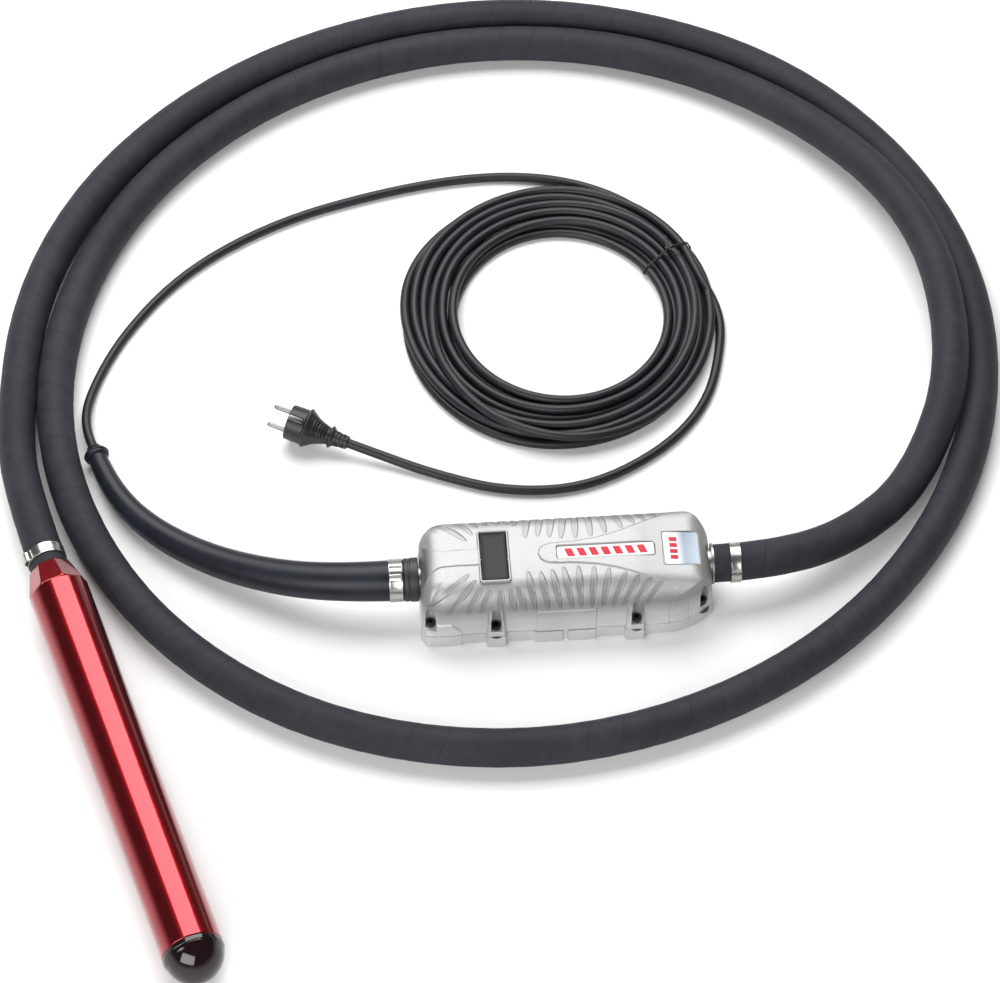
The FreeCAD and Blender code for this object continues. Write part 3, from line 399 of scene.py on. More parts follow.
# ---------------------------------------------------------------- camera
def add_camera():
    data = bpy.data.cameras.new("camera")
    data.lens = CAMERA_LENS
    data.sensor_width = 36.0
    data.clip_end = 50.0
    camera = linked("camera", data)
    camera.location = CAMERA_PLACE
    direction = Vector(CAMERA_TARGET) - Vector(CAMERA_PLACE)
    camera.rotation_euler = direction.to_track_quat("-Z", "Y").to_euler()
    bpy.context.scene.camera = camera


# ---------------------------------------------------------------- coil of spare cable
def coil_edges(angles):
    """Distance from the centre to the innermost and outermost strand's centre line."""
    inner = 0.1108 + 0.0145 * np.cos(angles) - 0.0020 * np.sin(angles) - 0.0042 * np.cos(2 * angles)
    outer = 0.1615 - 0.0020 * np.cos(angles) - 0.0020 * np.sin(angles) - 0.0095 * np.cos(2 * angles)
    return inner, outer


# Turn, place on the tied side and on the loose side (0 innermost, 1 outermost), and layer.
COIL_SLOTS = [
    (0, 1.0, 1.0, 0), (1, 0.68, 0.82, 0), (2, 0.34, 0.58, 0), (3, 0.0, 0.30, 0), (4, 0.02, 0.0, 0.6),
    (5, 0.2, 0.14, 1.2), (6, 0.5, 0.44, 1.1), (7, 0.84, 0.70, 1.1), (8, 0.98, 0.90, 1.0),
    (8.33, 1.0, 1.12, 1.9), (8.6, 0.8, 0.34, 2.2), (9, 0.7, 0.28, 2.4), (10, 1.0, 1.0, 1.4)]


def coil_points():
    """Points of the coiled stretch: the turns are laid out by slot, then settle on each other."""
    gap = 2 * CABLE_R + 0.0002
    total = COIL_TURNS * COIL_STEPS + 2
    steps = np.arange(1, total)
    angles = COIL_ENTRY - 2 * math.pi * steps / COIL_STEPS
    progress = steps / COIL_STEPS
    looseness = (1 - np.cos(angles - TIE_ANGLE)) / 2
    inner, outer = coil_edges(angles)
    slots = np.array(COIL_SLOTS)
    tied, loose, layer = (np.interp(progress, slots[:, 0], slots[:, k]) for k in (1, 2, 3))
    wanted = inner + (outer - inner) * (tied * (1 - looseness) + loose * looseness)
    wanted += looseness * (0.0020 * np.sin(8.6 * progress + 0.6) + 0.0012 * np.sin(19.7 * progress))
    radii = wanted.copy()
    heights = CABLE_R + layer * 0.011
    for _ in range(260):
        heights -= 0.0001
        radii += 0.02 * (wanted - radii)
        for line in (radii, heights):
            line[1:-1] += 0.25 * ((line[:-2] + line[2:]) / 2 - line[1:-1])
        for _ in range(3):
            for shift in range(COIL_STEPS, total - 1, COIL_STEPS):
                across = radii[shift:] - radii[:-shift]
                up = heights[shift:] - heights[:-shift]
                apart = np.hypot(across, up) + 1e-9
                push = np.maximum(0.0, gap - apart) / apart * 0.25
                radii[shift:] += push * across
                radii[:-shift] -= push * across
                heights[shift:] += push * up
                heights[:-shift] -= push * up
            heights = np.maximum(heights, CABLE_R)
    return [(COIL_CENTRE.x + r * math.cos(a), COIL_CENTRE.y + r * math.sin(a), h)
            for r, a, h in zip(radii, angles, heights)]


def plug_route():
    """From just inside the plug's bend relief to where the cable leaves the coil."""
    inside = PLUG_FRONT + PLUG_AXIS * (PLUG_LENGTH - 0.012)
    exit_point = PLUG_FRONT + PLUG_AXIS * PLUG_LENGTH
    straight = exit_point + PLUG_AXIS * 0.030
    return [tuple(inside), tuple(exit_point), tuple(straight)] + PLUG_ROUTE_TAIL


# ---------------------------------------------------------------- cords
def hose_radius(distance, angle):
    """The hose wall, with the slight steps that its wrap leaves."""
    turn = np.mod(distance / WRAP_PITCH + angle / (2 * math.pi) + 0.5, 1.0)
    step = 0.00022 * (1 - turn) * np.clip(turn * 12, 0, 1)
    sway = 0.00012 * np.sin(distance * 23.0 + 2 * angle)
    return HOSE_R - 0.0003 + step + sway


def add_hose():
    path = respaced(route_path(HOSE_ROUTE, 12), 0.0033)
    hose = tube("main_hose_tube", path, hose_radius, 48)
    stands_for(hose, "hose_rubber", "main_hose")


def add_tail():
    path = respaced(route_path(TAIL_ROUTE, 24), 0.002)
    total = path_distances(path)[-1]

    def radius(distance, angle):
        part = distance / total
        return TAIL_R_BOX + (TAIL_R_END - TAIL_R_BOX) * part + 0.0008 * np.sin(math.pi * part)

    tail = tube("tail_hose_tube", path, radius, 48)
    return stands_for(tail, "tail_rubber", "tail_hose"), path


def add_cable():
    points = SUPPLY_ROUTE + coil_points() + PLUG_ROUTE_TAIL[::-1] + plug_route()[2::-1]
    path = route_path(points, 6)
    cable = tube("supply_cable_tube", respaced(path, 0.004), CABLE_R, 20)
    return stands_for(cable, "cable_rubber", "supply_cable", "cable_coil", "plug_cable"), path


# ---------------------------------------------------------------- turned pieces
def lathe(name, outline, matrix, segments=96):
    """Solid of revolution about local +Z from a closed (radius, height) outline in millimetres."""
    points = [(radius * MM * math.cos(angle), radius * MM * math.sin(angle), height * MM)
              for angle in np.arange(segments) * 2 * math.pi / segments for radius, height in outline]
    piece = make_object(name, points, grid_faces(segments, len(outline), ring=True), 35.0, matrix=matrix)
    weld(piece, 1e-6, 1e-7)
    return piece


def round_grid(name, heights, radius, matrix, segments, sharp_deg):
    """Closed round body whose radius is a function of height and angle (millimetres, radians)."""
    points = []
    for height in heights:
        for angle in np.arange(segments) * 2 * math.pi / segments:
            reach = radius(height, angle) * MM
            points.append((reach * math.cos(angle), reach * math.sin(angle), height * MM))
    faces = grid_faces(len(heights), segments) + cap_faces(len(heights), segments)
    return make_object(name, points, faces, sharp_deg, matrix=matrix)


def weld(piece, distance, sliver=None):
    """Merges doubled points, drops faces thinner than a sliver and turns all faces outwards."""
    work = bmesh.new()
    work.from_mesh(piece.data)
    bmesh.ops.remove_doubles(work, verts=work.verts, dist=distance)
    if sliver:
        bmesh.ops.dissolve_degenerate(work, edges=work.edges, dist=sliver)
    bmesh.ops.recalc_face_normals(work, faces=work.faces)
    work.to_mesh(piece.data)
    work.free()


def arc_points(centre, radius, from_deg, to_deg, count):
    angles = np.radians(np.linspace(from_deg, to_deg, count))
    return [(centre[0] + radius * math.cos(a), centre[1] + radius * math.sin(a)) for a in angles]


# ---------------------------------------------------------------- poker head
HEAD_R = 29.0
ADAPTER_HOSE_R = 19.5               # across the flats, at the hose and at the tube
ADAPTER_TUBE_R = HEAD_R - 0.6
ADAPTER_ROLL = math.radians(10.0)
TUBE_START = 29.0
TUBE_END = 449.0
TIP_COLLAR = 5.0
TIP_TAPER_END = 9.2
TIP_LENGTH = 30.2
CLAMP_SETBACK = 16.0


def add_head_tube():
    stations = np.linspace(TUBE_START + 1.0, TUBE_END - 1.0, 24)
    outline = [(24.0, TUBE_START), (HEAD_R - 0.9, TUBE_START)]
    outline += arc_points((HEAD_R - 0.9, TUBE_START + 0.9), 0.9, -90, 0, 5)[1:]
    outline += [(HEAD_R, s) for s in stations]
    outline += arc_points((HEAD_R - 0.9, TUBE_END - 0.9), 0.9, 0, 90, 5)
    outline += [(24.0, TUBE_END)]
    stands_for(lathe("head_casing", outline, HEAD_MATRIX, 160), "head_red", "head_tube")


def add_head_tip():
    collar_end = TUBE_END + TIP_COLLAR
    taper_end = TUBE_END + TIP_TAPER_END
    nose = TUBE_END + TIP_LENGTH
    dome_base_r = 27.2
    dome_height = nose - taper_end
    dome_r = (dome_base_r ** 2 + dome_height ** 2) / (2 * dome_height)
    half_angle = math.degrees(math.asin(dome_base_r / dome_r))
    outline = [(0.0, TUBE_END - 20.0), (23.8, TUBE_END - 20.0), (23.8, TUBE_END), (HEAD_R - 1.0, TUBE_END)]
    outline += arc_points((HEAD_R - 1.0, TUBE_END + 0.9), 0.9, -90, 0, 5)[1:]
    outline += [(HEAD_R - 0.1, collar_end - 0.5), (HEAD_R - 0.5, collar_end),
                (HEAD_R - 0.55, collar_end + 0.5)]
    blend = np.linspace(0.08, 1.0, 8)
    outline += [(HEAD_R - 0.55 - (HEAD_R - 0.55 - dome_base_r) * t ** 1.7,
                 collar_end + 0.5 + (taper_end - collar_end - 0.5) * t) for t in blend]
    dome = arc_points((0.0, nose - dome_r), dome_r, 90 - half_angle, 90, 28)[1:]
    stands_for(lathe("head_nose", outline + dome, HEAD_MATRIX, 160), "tip_dark", "head_tip")


def adapter_radius(height, angle):
    """Eight flats that widen and run out into the round of the tube, with broken end edges."""
    from_flat = (math.degrees(angle) + 22.5) % 45.0 - 22.5
    flat = ADAPTER_HOSE_R + (ADAPTER_TUBE_R - ADAPTER_HOSE_R) * height / (TUBE_START + 3.0)
    from_end = min(height, TUBE_START - height)
    return min(flat / math.cos(math.radians(from_flat)), HEAD_R) - 0.5 * max(0.0, 1.0 - from_end / 0.8)


def add_head_adapter():
    matrix = HEAD_MATRIX @ Matrix.Rotation(ADAPTER_ROLL, 4, "Z")
    cap = round_grid("head_cap", np.linspace(0.0, TUBE_START, 44), adapter_radius, matrix, 192, 12.0)
    stands_for(cap, "head_red", "head_adapter")


# ---------------------------------------------------------------- clamps
# Piece, node, centre and direction in metres, then bore radius, width and roll in mm and degrees.
CLAMPS = [
    ("head_clamp", "head_hose_clamp", HEAD_START - HEAD_AXIS * CLAMP_SETBACK * MM, HEAD_AXIS,
     18.55, 11.5, -112.0),
    ("outlet_clamp", "outlet_hose_clamp", (0.163, 0.0, 0.044), (1, 0, 0), 18.55, 10.0, 70.0),
    ("tail_clamp", "tail_hose_clamp", (-0.162, 0.0, 0.044), (-1, 0, 0), 20.0, 13.0, 165.0)]


def add_clamp(name, node, centre, direction, bore_r, width, roll_deg):
    """Pinched steel band with a folded ear, in millimetres about its own +Z."""
    matrix = along_matrix(centre, direction) @ Matrix.Rotation(math.radians(roll_deg), 4, "Z")
    band = lathe(name, band_section(bore_r, width), matrix, 128)
    ear = clamp_ear(name + "_ear", bore_r, width, matrix)
    ear.parent = band
    stands_for(band, "clamp_steel", node)
    stands_for(ear, "clamp_steel")


def band_section(bore_r, width):
    half = width / 2
    thick = 0.9
    section = [(bore_r, -half + 0.3), (bore_r, half - 0.3)]
    section += arc_points((bore_r + 0.45, half - 0.45), 0.45, 135, 30, 5)
    section += [(bore_r + thick, half - 1.4), (bore_r + thick - 0.12, half - 2.0),
                (bore_r + thick - 0.12, 2.0 - half), (bore_r + thick, 1.4 - half)]
    section += arc_points((bore_r + 0.45, 0.45 - half), 0.45, -30, -135, 5)
    return section


def clamp_ear(name, bore_r, width, matrix):
    """Ribbon folded into an ear: feet on the band, pinched waist, flat crown."""
    half_fold = [(-8.0, 0.75), (-6.6, 0.9), (-5.4, 1.3), (-4.5, 2.1), (-4.1, 3.1), (-3.7, 4.0),
                 (-2.6, 4.5), (-0.9, 4.6)]
    fold = half_fold + [(-t, h) for t, h in reversed(half_fold)]
    half = width / 2 - 0.4
    across = np.linspace(-half, half, 7)
    rows = len(across)
    points = [((math.sqrt(bore_r ** 2 - t ** 2) + h) * MM, t * MM, z * MM)
              for t, h in fold for z in across]
    faces = [(first, first + rows, first + rows + 1, first + 1)
             for first in range(rows * (len(fold) - 1)) if first % rows < rows - 1]
    ear = make_object(name, points, faces, 60.0, matrix=matrix)
    thicken = ear.modifiers.new("thickness", "SOLIDIFY")
    thicken.thickness = 0.9 * MM
    thicken.offset = 0.0
    smooth = ear.modifiers.new("smooth", "SUBSURF")
    smooth.levels = smooth.render_levels = 2
    return ear


# ---------------------------------------------------------------- converter shells
BOX_HALF_LENGTH = 140.0
BOX_HALF_WIDTH = 48.5               # of the front half
BACK_EXTRA = 5.0                    # the back half is wider by this
BOX_TOP = 75.0
PARTING_Z = 18.0
DRAFT = 1.5
BASE_CORNER_R = 11.0
SHOULDER_CORNER_R = 24.0            # mains-end corners, where the wall rolls over
SIDE_COLUMNS = 540                 # mesh columns along half of the outline
SWITCH_X = -68.0
BADGE_X = 110.5
BADGE_HALF = (16.9, 18.9)
BADGE_SEAT_Z = 71.0
BADGE_SLOPE = -0.114                # the plate falls towards the hose end
BOSSES = (-69.0, 63.5)              # x of the two bosses on each long wall
FOOT_END = -101.0                   # x where the corner feet stop
SCREWS = [(-131.0, 40.5, 90.0), (-69.0, 48.0, 90.0), (65.0, 48.0, 90.0), (129.0, 31.5, 55.0)]
CHANNEL_R = 4.85
SCREW_SEAT_Z = 26.5


def three_point_arc(a, b, c, count):
    """Points of the circle through three points, from a to c."""
    ax, ay, bx, by, cx, cy = *a, *b, *c
    scale = 2 * (ax * (by - cy) + bx * (cy - ay) + cx * (ay - by))
    aa, bb, cc = (x ** 2 + y ** 2 for x, y in (a, b, c))
    ux = (aa * (by - cy) + bb * (cy - ay) + cc * (ay - by)) / scale
    uy = (aa * (cx - bx) + bb * (ax - cx) + cc * (bx - ax)) / scale
    radius = math.hypot(ax - ux, ay - uy)
    first, middle, last = (math.atan2(y - uy, x - ux) for x, y in (a, b, c))
    middle = first + (middle - first + math.pi) % (2 * math.pi) - math.pi
    last = middle + (last - middle + math.pi) % (2 * math.pi) - math.pi
    return [(ux + radius * math.cos(t), uy + radius * math.sin(t)) for t in np.linspace(first, last, count)]


def middle_line(outline):
    """Where each outline point ends up on the middle line."""
    return np.column_stack([np.clip(outline[:, 0], 46.0 - BOX_HALF_LENGTH, 96.0), np.zeros(len(outline))])


def raised(place, height):
    return np.column_stack([place, np.broadcast_to(height, len(place))])


def even_points(points, count):
    points = np.array(points)
    distances = np.concatenate([[0], np.cumsum(np.hypot(*np.diff(points, axis=0).T))])
    wanted = np.linspace(0, distances[-1], count)
    return np.stack([np.interp(wanted, distances, points[:, k]) for k in range(2)], -1)


def half_outline(inset, corner, side_y):
    """One half of the converter outline from above, from its mains end to its hose end."""
    end_x = BOX_HALF_LENGTH - inset
    half = [(-end_x, 0.0)]
    half += arc_points((-end_x + corner, side_y - corner), corner, 180, 90, 24)
    half += three_point_arc((92.0, side_y), (120 - inset * 0.5, side_y - 6.5),
                            (end_x - 1.5, 28.5 - inset), 30)
    half += [(end_x, 26.0 - inset), (end_x, 0.0)]
    return even_points(half, SIDE_COLUMNS + 1)


def plan_outline(inset, corner):
    """Evenly spaced outline from above, and its outward directions."""
    back = half_outline(inset, corner, BOX_HALF_WIDTH + BACK_EXTRA - inset)
    front = half_outline(inset, corner, BOX_HALF_WIDTH - inset)
    outline = np.concatenate([back, front[-2:0:-1] * (1, -1)])
    ahead = np.roll(outline, -1, 0) - np.roll(outline, 1, 0)
    outward = np.stack([-ahead[:, 1], ahead[:, 0]], -1)
    return outline, outward / np.linalg.norm(outward, axis=1)[:, None]


def rise(value, low, high):
    """Smooth step from 0 at low to 1 at high."""
    t = np.clip((value - low) / (high - low), 0.0, 1.0)
    return t * t * (3 - 2 * t)


def inside_round_box(x, y, centre, half, corner):
    """Distance inside a rounded rectangle, negative outside."""
    dx = np.abs(x - centre[0]) - (half[0] - corner)
    dy = np.abs(y - centre[1]) - (half[1] - corner)
    outside = np.hypot(np.maximum(dx, 0), np.maximum(dy, 0))
    return corner - outside - np.minimum(np.maximum(dx, dy), 0)


def profile(points):
    table = np.array(points)
    return lambda inset: np.interp(inset, table[:, 0], table[:, 1])


FRONT_Y = -BOX_HALF_WIDTH
BACK_Y = BOX_HALF_WIDTH + BACK_EXTRA
CROSS_PROFILE = profile(
    three_point_arc((FRONT_Y + DRAFT, 46.0), (FRONT_Y + 8.0, 66.5), (FRONT_Y + 23.0, 73.8), 60)
    + three_point_arc((FRONT_Y + 23.0, 73.8), (3.0, 75.0), (BACK_Y - 23.0, 74.2), 30)[1:]
    + three_point_arc((BACK_Y - 23.0, 74.2), (BACK_Y - 8.0, 68.0), (BACK_Y - DRAFT, 46.0), 60)[1:])
MAINS_END_PROFILE = profile(
    three_point_arc((DRAFT, 48.0), (7.5, 67.5), (24.0, 75.0), 60) + [(60.0, 82.0), (300.0, 90.0)])
HOSE_END_PROFILE = profile(
    three_point_arc((DRAFT, 48.0), (8.0, 65.0), (25.0, 72.3), 60)
    + [(62.0, 75.4), (95.0, 82.0), (300.0, 90.0)])


def soft_min(a, b, reach):
    mix = np.clip(0.5 + 0.5 * (b - a) / reach, 0, 1)
    return b * (1 - mix) + a * mix - reach * mix * (1 - mix)


def top_height(x, y):
    """Height of the plain cover over a plan position; the mains end's corners are rounded off."""
    from_end = x + BOX_HALF_LENGTH
    from_side = np.where(y > 0, BACK_Y - y, y - FRONT_Y)
    corner = SHOULDER_CORNER_R + DRAFT
    nearest = np.minimum(from_end, from_side)
    past = np.hypot(np.maximum(corner - from_end, 0), np.maximum(corner - from_side, 0))
    cut = np.where(nearest < corner, nearest - (corner - past), 0.0)
    side = CROSS_PROFILE(y + np.sign(y) * cut)
    ends = soft_min(MAINS_END_PROFILE(from_end - cut), HOSE_END_PROFILE(BOX_HALF_LENGTH - x), 3.0)
    return soft_min(side, ends, 4.0)


def island_half_width(x):
    return np.interp(x, [-30, -26, -24, -20, -14, 8, 30, 48, 66, 83, 94, 101, 106, 112],
                     [-6, 0, 6.2, 9.8, 11.6, 12.6, 15.6, 20.6, 27.6, 36.0, 41.5, 47.0, 60.0, 90.0])


# Leaf grooves of one side: outer x on the shoulder, inner x, inner end's distance from the middle.
LEAVES = [(-134, -93, 20), (-116, -87, 27), (-97, -82, 37), (-84, -73, 40), (-65, -63, 40), (-51, -54, 40),
          (-41, -47, 37), (-31, -37, 20), (-18.5, -25, 21), (-7, -14, 19), (4, -3, 17), (12, 11, 16.5),
          (22, 26, 18), (32, 40, 21), (41, 56, 26), (51, 68, 31), (61, 79, 35), (73, 90, 39)]


def leaf_relief(x, reach):
    """Hollow and fine outline of each leaf, both 0 to 1; the outline sinks a shallow groove and also carries
    painted shade, stronger on one side. reach is the distance from the middle line.
    """
    depth = np.zeros_like(x)
    line = np.zeros_like(x)
    for outer_x, inner_x, inner_reach in LEAVES:
        outer_reach = 60.0 if outer_x < -120 else 72.0
        run = np.array([outer_x - inner_x, outer_reach - inner_reach])
        length = np.hypot(*run)
        run /= length
        along = ((x - inner_x) * run[0] + (reach - inner_reach) * run[1]) / length
        aside = (x - inner_x) * run[1] - (reach - inner_reach) * run[0]
        inside = np.clip(along, 0.0, 1.0)
        half = 0.3 + 2.7 * np.sin(math.pi * inside ** 0.75) ** 0.8
        across = aside / half
        slope = np.minimum((across + 1) / 1.7, (1 - across) / 0.3)
        shown = (along > 0) & (along < 1)
        hollow = np.clip(slope, 0, 1) * np.sin(math.pi * inside) ** 0.5
        depth = np.maximum(depth, np.where(shown, hollow, 0.0))
        from_edge = np.abs(np.abs(aside) - half)
        # Painted shade along each leaf's edge: full on one side, 0.6 on the other.
        edge = np.clip(1.25 - from_edge / 0.6, 0, 1) * np.where(aside > 0, 1.0, 0.6)
        line = np.maximum(line, np.where(shown, edge, 0.0))
    return depth, line


def top_detail(x, y, z):
    """How far the cover's features stand out from it (negative: sunk), and where painted shade darkens its fine
    groove lines and the edges of its raised steps.
    """
    reach = np.abs(y) + 0.9 * np.maximum(0.0, BOX_TOP - z)
    island = rise(island_half_width(x) - reach * 0.97, -0.2, 1.1)
    strip_half = 9.5 + 0.035 * np.maximum(0.0, -116.0 - x) ** 2
    strip = rise(strip_half - np.abs(y), 0.0, 1.0) * rise(-70.0 - x, 0.0, 1.0) * rise(x, -139.0, -128.0)
    detail = 1.25 * island * (1 - 0.75 * rise(x, 60.0, 100.0)) + 0.9 * strip
    plain = (1 - island) * (1 - strip) * rise(z, 46.0, 54.0)
    hollow, leaf_groove_and_shade = leaf_relief(x, reach)
    detail -= (0.95 * hollow + 0.25 * leaf_groove_and_shade) * plain
    # Painted shade where the raised island and label strip step up from the cover.
    painted_step_edge_shade = 4 * island * (1 - island) * rise(z, 40.0, 60.0) + 4 * strip * (1 - strip)
    lines = np.clip(leaf_groove_and_shade * plain + 0.8 * painted_step_edge_shade, 0, 1)
    slot = inside_round_box(x, y, (38.4, 0.0), (46.8, 8.2), 3.0)
    detail -= 1.9 * rise(slot, -0.3, 0.3)
    return detail, lines


def wall_detail(x, z, front):
    """How far the long walls' panel, bosses and corner feet stand out."""
    panel = np.minimum(28.5 - np.abs(x + 1.5), 46.5 - z)
    detail = 1.2 * rise(panel, 0.0, 0.8)
    for boss_x in BOSSES:
        half = 9.6 - 0.075 * (z - PARTING_Z)
        height = 5.2 * (1 - rise(z, 40.0, 55.0))
        detail = np.maximum(detail, height * rise(half - np.abs(x - boss_x), -0.6, 1.4))
    foot_top = 34.0 - 12.0 * rise(x, -112.0, -100.0)
    foot = rise(FOOT_END - x, 0.0, 1.2) * rise(foot_top - z, -0.5, 0.8)
    detail = np.maximum(detail, 1.3 * foot)
    for crease_x in (97.0, 116.0):
        detail -= 0.8 * (1 - rise(np.abs(x - crease_x), 0.2, 1.1)) * front
    return detail


def carve_channels(points, radius):
    """Opens a round-backed channel in the wall above each screw."""
    for screw_x, reach, opening_deg in SCREWS:
        for side, screw_y in ((-1, reach), (1, reach + BACK_EXTRA)):
            opening_angle = math.radians(side * opening_deg)
            opening = np.array([math.cos(opening_angle), math.sin(opening_angle)])
            offset = points[..., :2] - (screw_x, side * screw_y)
            along = offset @ opening
            across = offset @ np.array([-opening[1], opening[0]])
            fade = (1 - rise(points[..., 2], 43.0, 57.0)) * (points[..., 2] > SCREW_SEAT_Z)
            width = radius * (1 - 0.5 * rise(points[..., 2], 40.0, 57.0))
            back = -np.sqrt(np.maximum(width ** 2 - across ** 2, 0.0))
            hit = (np.abs(across) < width) & (along > back) & (along < 25.0) & (fade > 0)
            shift = np.where(hit, (back - along) * fade, 0.0)
            points[..., :2] += shift[..., None] * opening
    return points


def grid_normals(grid):
    """Unit normals of a grid that is closed in its second direction."""
    down = np.gradient(grid, axis=0)
    round_way = np.roll(grid, -1, 1) - np.roll(grid, 1, 1)
    normal = np.cross(round_way, down)
    return normal / np.maximum(np.linalg.norm(normal, axis=-1), 1e-9)[..., None]


def cover_grid(inset, wall_rows, top_rows, channel_r, detailed):
    """Rows of points from the parting plane up the wall and over the top to the middle line."""
    outline = plan_outline(inset, BASE_CORNER_R)[0]
    lean, outward = plan_outline(inset + DRAFT, SHOULDER_CORNER_R)
    wall_top = top_height(*(lean + outward * inset).T) - inset
    rows = []
    for part in np.linspace(0.0, 1.0, wall_rows):
        z = PARTING_Z + part * (wall_top - PARTING_Z)
        rows.append(raised(outline + (lean - outline) * part, z))
    middle = middle_line(outline)
    for part in np.linspace(0.0, 1.0, top_rows)[1:] ** 1.7:
        place = lean + (middle - lean) * part
        grown = place * (1 + inset * 0.02 * (1 - part))
        rows.append(raised(place, top_height(*grown.T) - inset))
    grid = np.array(rows)
    normals = grid_normals(grid)
    if normals[wall_rows + top_rows // 2, 5, 2] < 0:
        normals = -normals
    normals[-1] = (0.0, 0.0, 1.0)
    x, y, z = np.moveaxis(grid, -1, 0)
    # Painted shade of the fine groove lines and step edges, zero on the plain inner surface.
    lines = np.zeros_like(x)
    if detailed:
        long_side = rise(np.abs(normals[..., 1]), 0.6, 0.85) * (1 - rise(z, 50.0, 58.0))
        rolled = rise(z, 44.0, 50.0)
        relief, lines = top_detail(x, y, z)
        stand = relief * rolled + wall_detail(x, z, long_side) * long_side
        grid = grid + normals * stand[..., None]
    well_half, well_floor = ((12.8, 27.8), 66.3) if detailed else ((16.0, 31.0), 62.0)
    well = inside_round_box(x, y, (SWITCH_X, 0.0), well_half, 1.0)
    grid[..., 2] = np.where((well > 0) & (z > 60), well_floor, grid[..., 2])
    if detailed:
        badge = inside_round_box(x, y, (BADGE_X, 0.0), (17.7, 19.7), 2.5)
        seat = BADGE_SEAT_Z + BADGE_SLOPE * (x - BADGE_X)
        grid[..., 2] = np.where((badge > 0) & (z > 60), seat, grid[..., 2])
    return carve_channels(grid, channel_r), lines


def shell_from_grids(name, outer, inner, outer_painted_shade=None):
    """Closed shell: outer and inner surfaces joined at the rim. The last argument gives the painted shade of the
    outer surface's fine groove lines and step edges.
    """
    columns = outer.shape[1]
    points = np.concatenate([outer.reshape(-1, 3), inner.reshape(-1, 3)]) * MM
    first_inner = outer.shape[0] * columns
    faces = grid_faces(outer.shape[0], columns)
    faces += grid_faces(inner.shape[0], columns, first_inner, True)
    for column in range(columns):
        beside = (column + 1) % columns
        faces.append((first_inner + column, first_inner + beside, beside, column))
    shell = make_object(name, points, faces)
    # Painted shade per point, kept as an attribute for the cast aluminium material.
    marks = np.zeros(len(points))
    if outer_painted_shade is not None:
        marks[:first_inner] = outer_painted_shade.ravel()
    shell.data.attributes.new("painted_groove_shade", "FLOAT", "POINT").data.foreach_set("value", marks)
    weld(shell, 2e-6)
    shell.data.polygons.foreach_set("use_smooth", [True] * len(shell.data.polygons))
    shell.data.set_sharp_from_angle(angle=math.radians(38.0))
    return shell


def add_upper_housing():
    outer, lines = cover_grid(0.0, 34, 110, CHANNEL_R, True)
    inner = cover_grid(4.0, 12, 30, CHANNEL_R + 2.6, False)[0]
    shell = shell_from_grids("converter_cover", outer, inner, lines)
    stands_for(shell, "cast_aluminium", "upper_housing")


def base_grid(inset, detailed):
    """Rows from the parting plane down the wall, round the edge and over the underside."""
    outline, outward = plan_outline(inset, BASE_CORNER_R)
    top = PARTING_Z - 0.6
    bottom = 1.5 + inset
    rows = []
    for z in np.linspace(top, bottom + 2.0, 12):
        rows.append(raised(outline, z))
    for angle in np.linspace(0, math.pi / 2, 6)[1:]:
        place = outline - outward * 2.0 * (1 - math.cos(angle))
        rows.append(raised(place, bottom + 2.0 - 2.0 * math.sin(angle)))
    edge = rows[-1][:, :2]
    middle = middle_line(outline)
    for part in np.linspace(0.0, 1.0, 26)[1:]:
        rows.append(raised(edge + (middle - edge) * part, bottom))
    grid = np.array(rows)
    if detailed:
        outward_grid = np.broadcast_to(outward, grid[..., :2].shape)
        x, y, z = np.moveaxis(grid, -1, 0).copy()
        long_side = rise(np.abs(outward_grid[..., 1]), 0.6, 0.85)
        side = rise(np.abs(y), 30.0, 46.0)
        boss = np.maximum(*(rise(9.8 - np.abs(x - boss_x), -0.4, 1.2) for boss_x in BOSSES))
        split = rise(29.5 - np.abs(x + 3.0), 0.0, 1.0) * rise(np.abs(x + 3.0), 1.6, 2.8)
        corner = rise(FOOT_END - x, 0.0, 1.2)
        stand = np.maximum(np.maximum(5.2 * boss, 2.2 * split), 1.3 * corner) * long_side * side
        grid[..., :2] += outward_grid * stand[..., None]
        feet = np.maximum(np.maximum(boss, split), corner) * rise(np.abs(y), 38.0, 40.0)
        pad = rise(inside_round_box(x, y, (0.0, 0.0), (45.0, 24.0), 3.0), -0.5, 0.5)
        grid[..., 2] = np.where(z < bottom + 2.01, z - 1.5 * np.maximum(feet, pad), z)
    return grid


def add_lower_housing():
    shell = shell_from_grids("converter_base", base_grid(0.0, True), base_grid(4.0, False))
    stands_for(shell, "cast_aluminium", "lower_housing")


# ---------------------------------------------------------------- small converter pieces
def rounded_loop(centre, half, corner, steps=8):
    """Points round a rounded rectangle, in millimetres."""
    loop = []
    for turn, (side_x, side_y) in zip((0, 90, 180, 270), ((1, 1), (-1, 1), (-1, -1), (1, -1))):
        middle = (centre[0] + side_x * (half[0] - corner), centre[1] + side_y * (half[1] - corner))
        loop += arc_points(middle, corner, turn, turn + 90, steps)
    return loop


def stacked_plate(name, centre, half, corner, levels, closed=True):
    """Plate from rounded outlines at (inset, height) levels: closed with caps, or else a frame."""
    points = []
    for inset, height in levels:
        loop = rounded_loop(centre, (half[0] - inset, half[1] - inset), max(corner - inset, 0.3))
        points += [(x * MM, y * MM, height * MM) for x, y in loop]
    count = len(points) // len(levels)
    faces = grid_faces(len(levels), count, ring=not closed)
    if closed:
        faces += cap_faces(len(levels), count)
    return make_object(name, points, faces, 50.0)


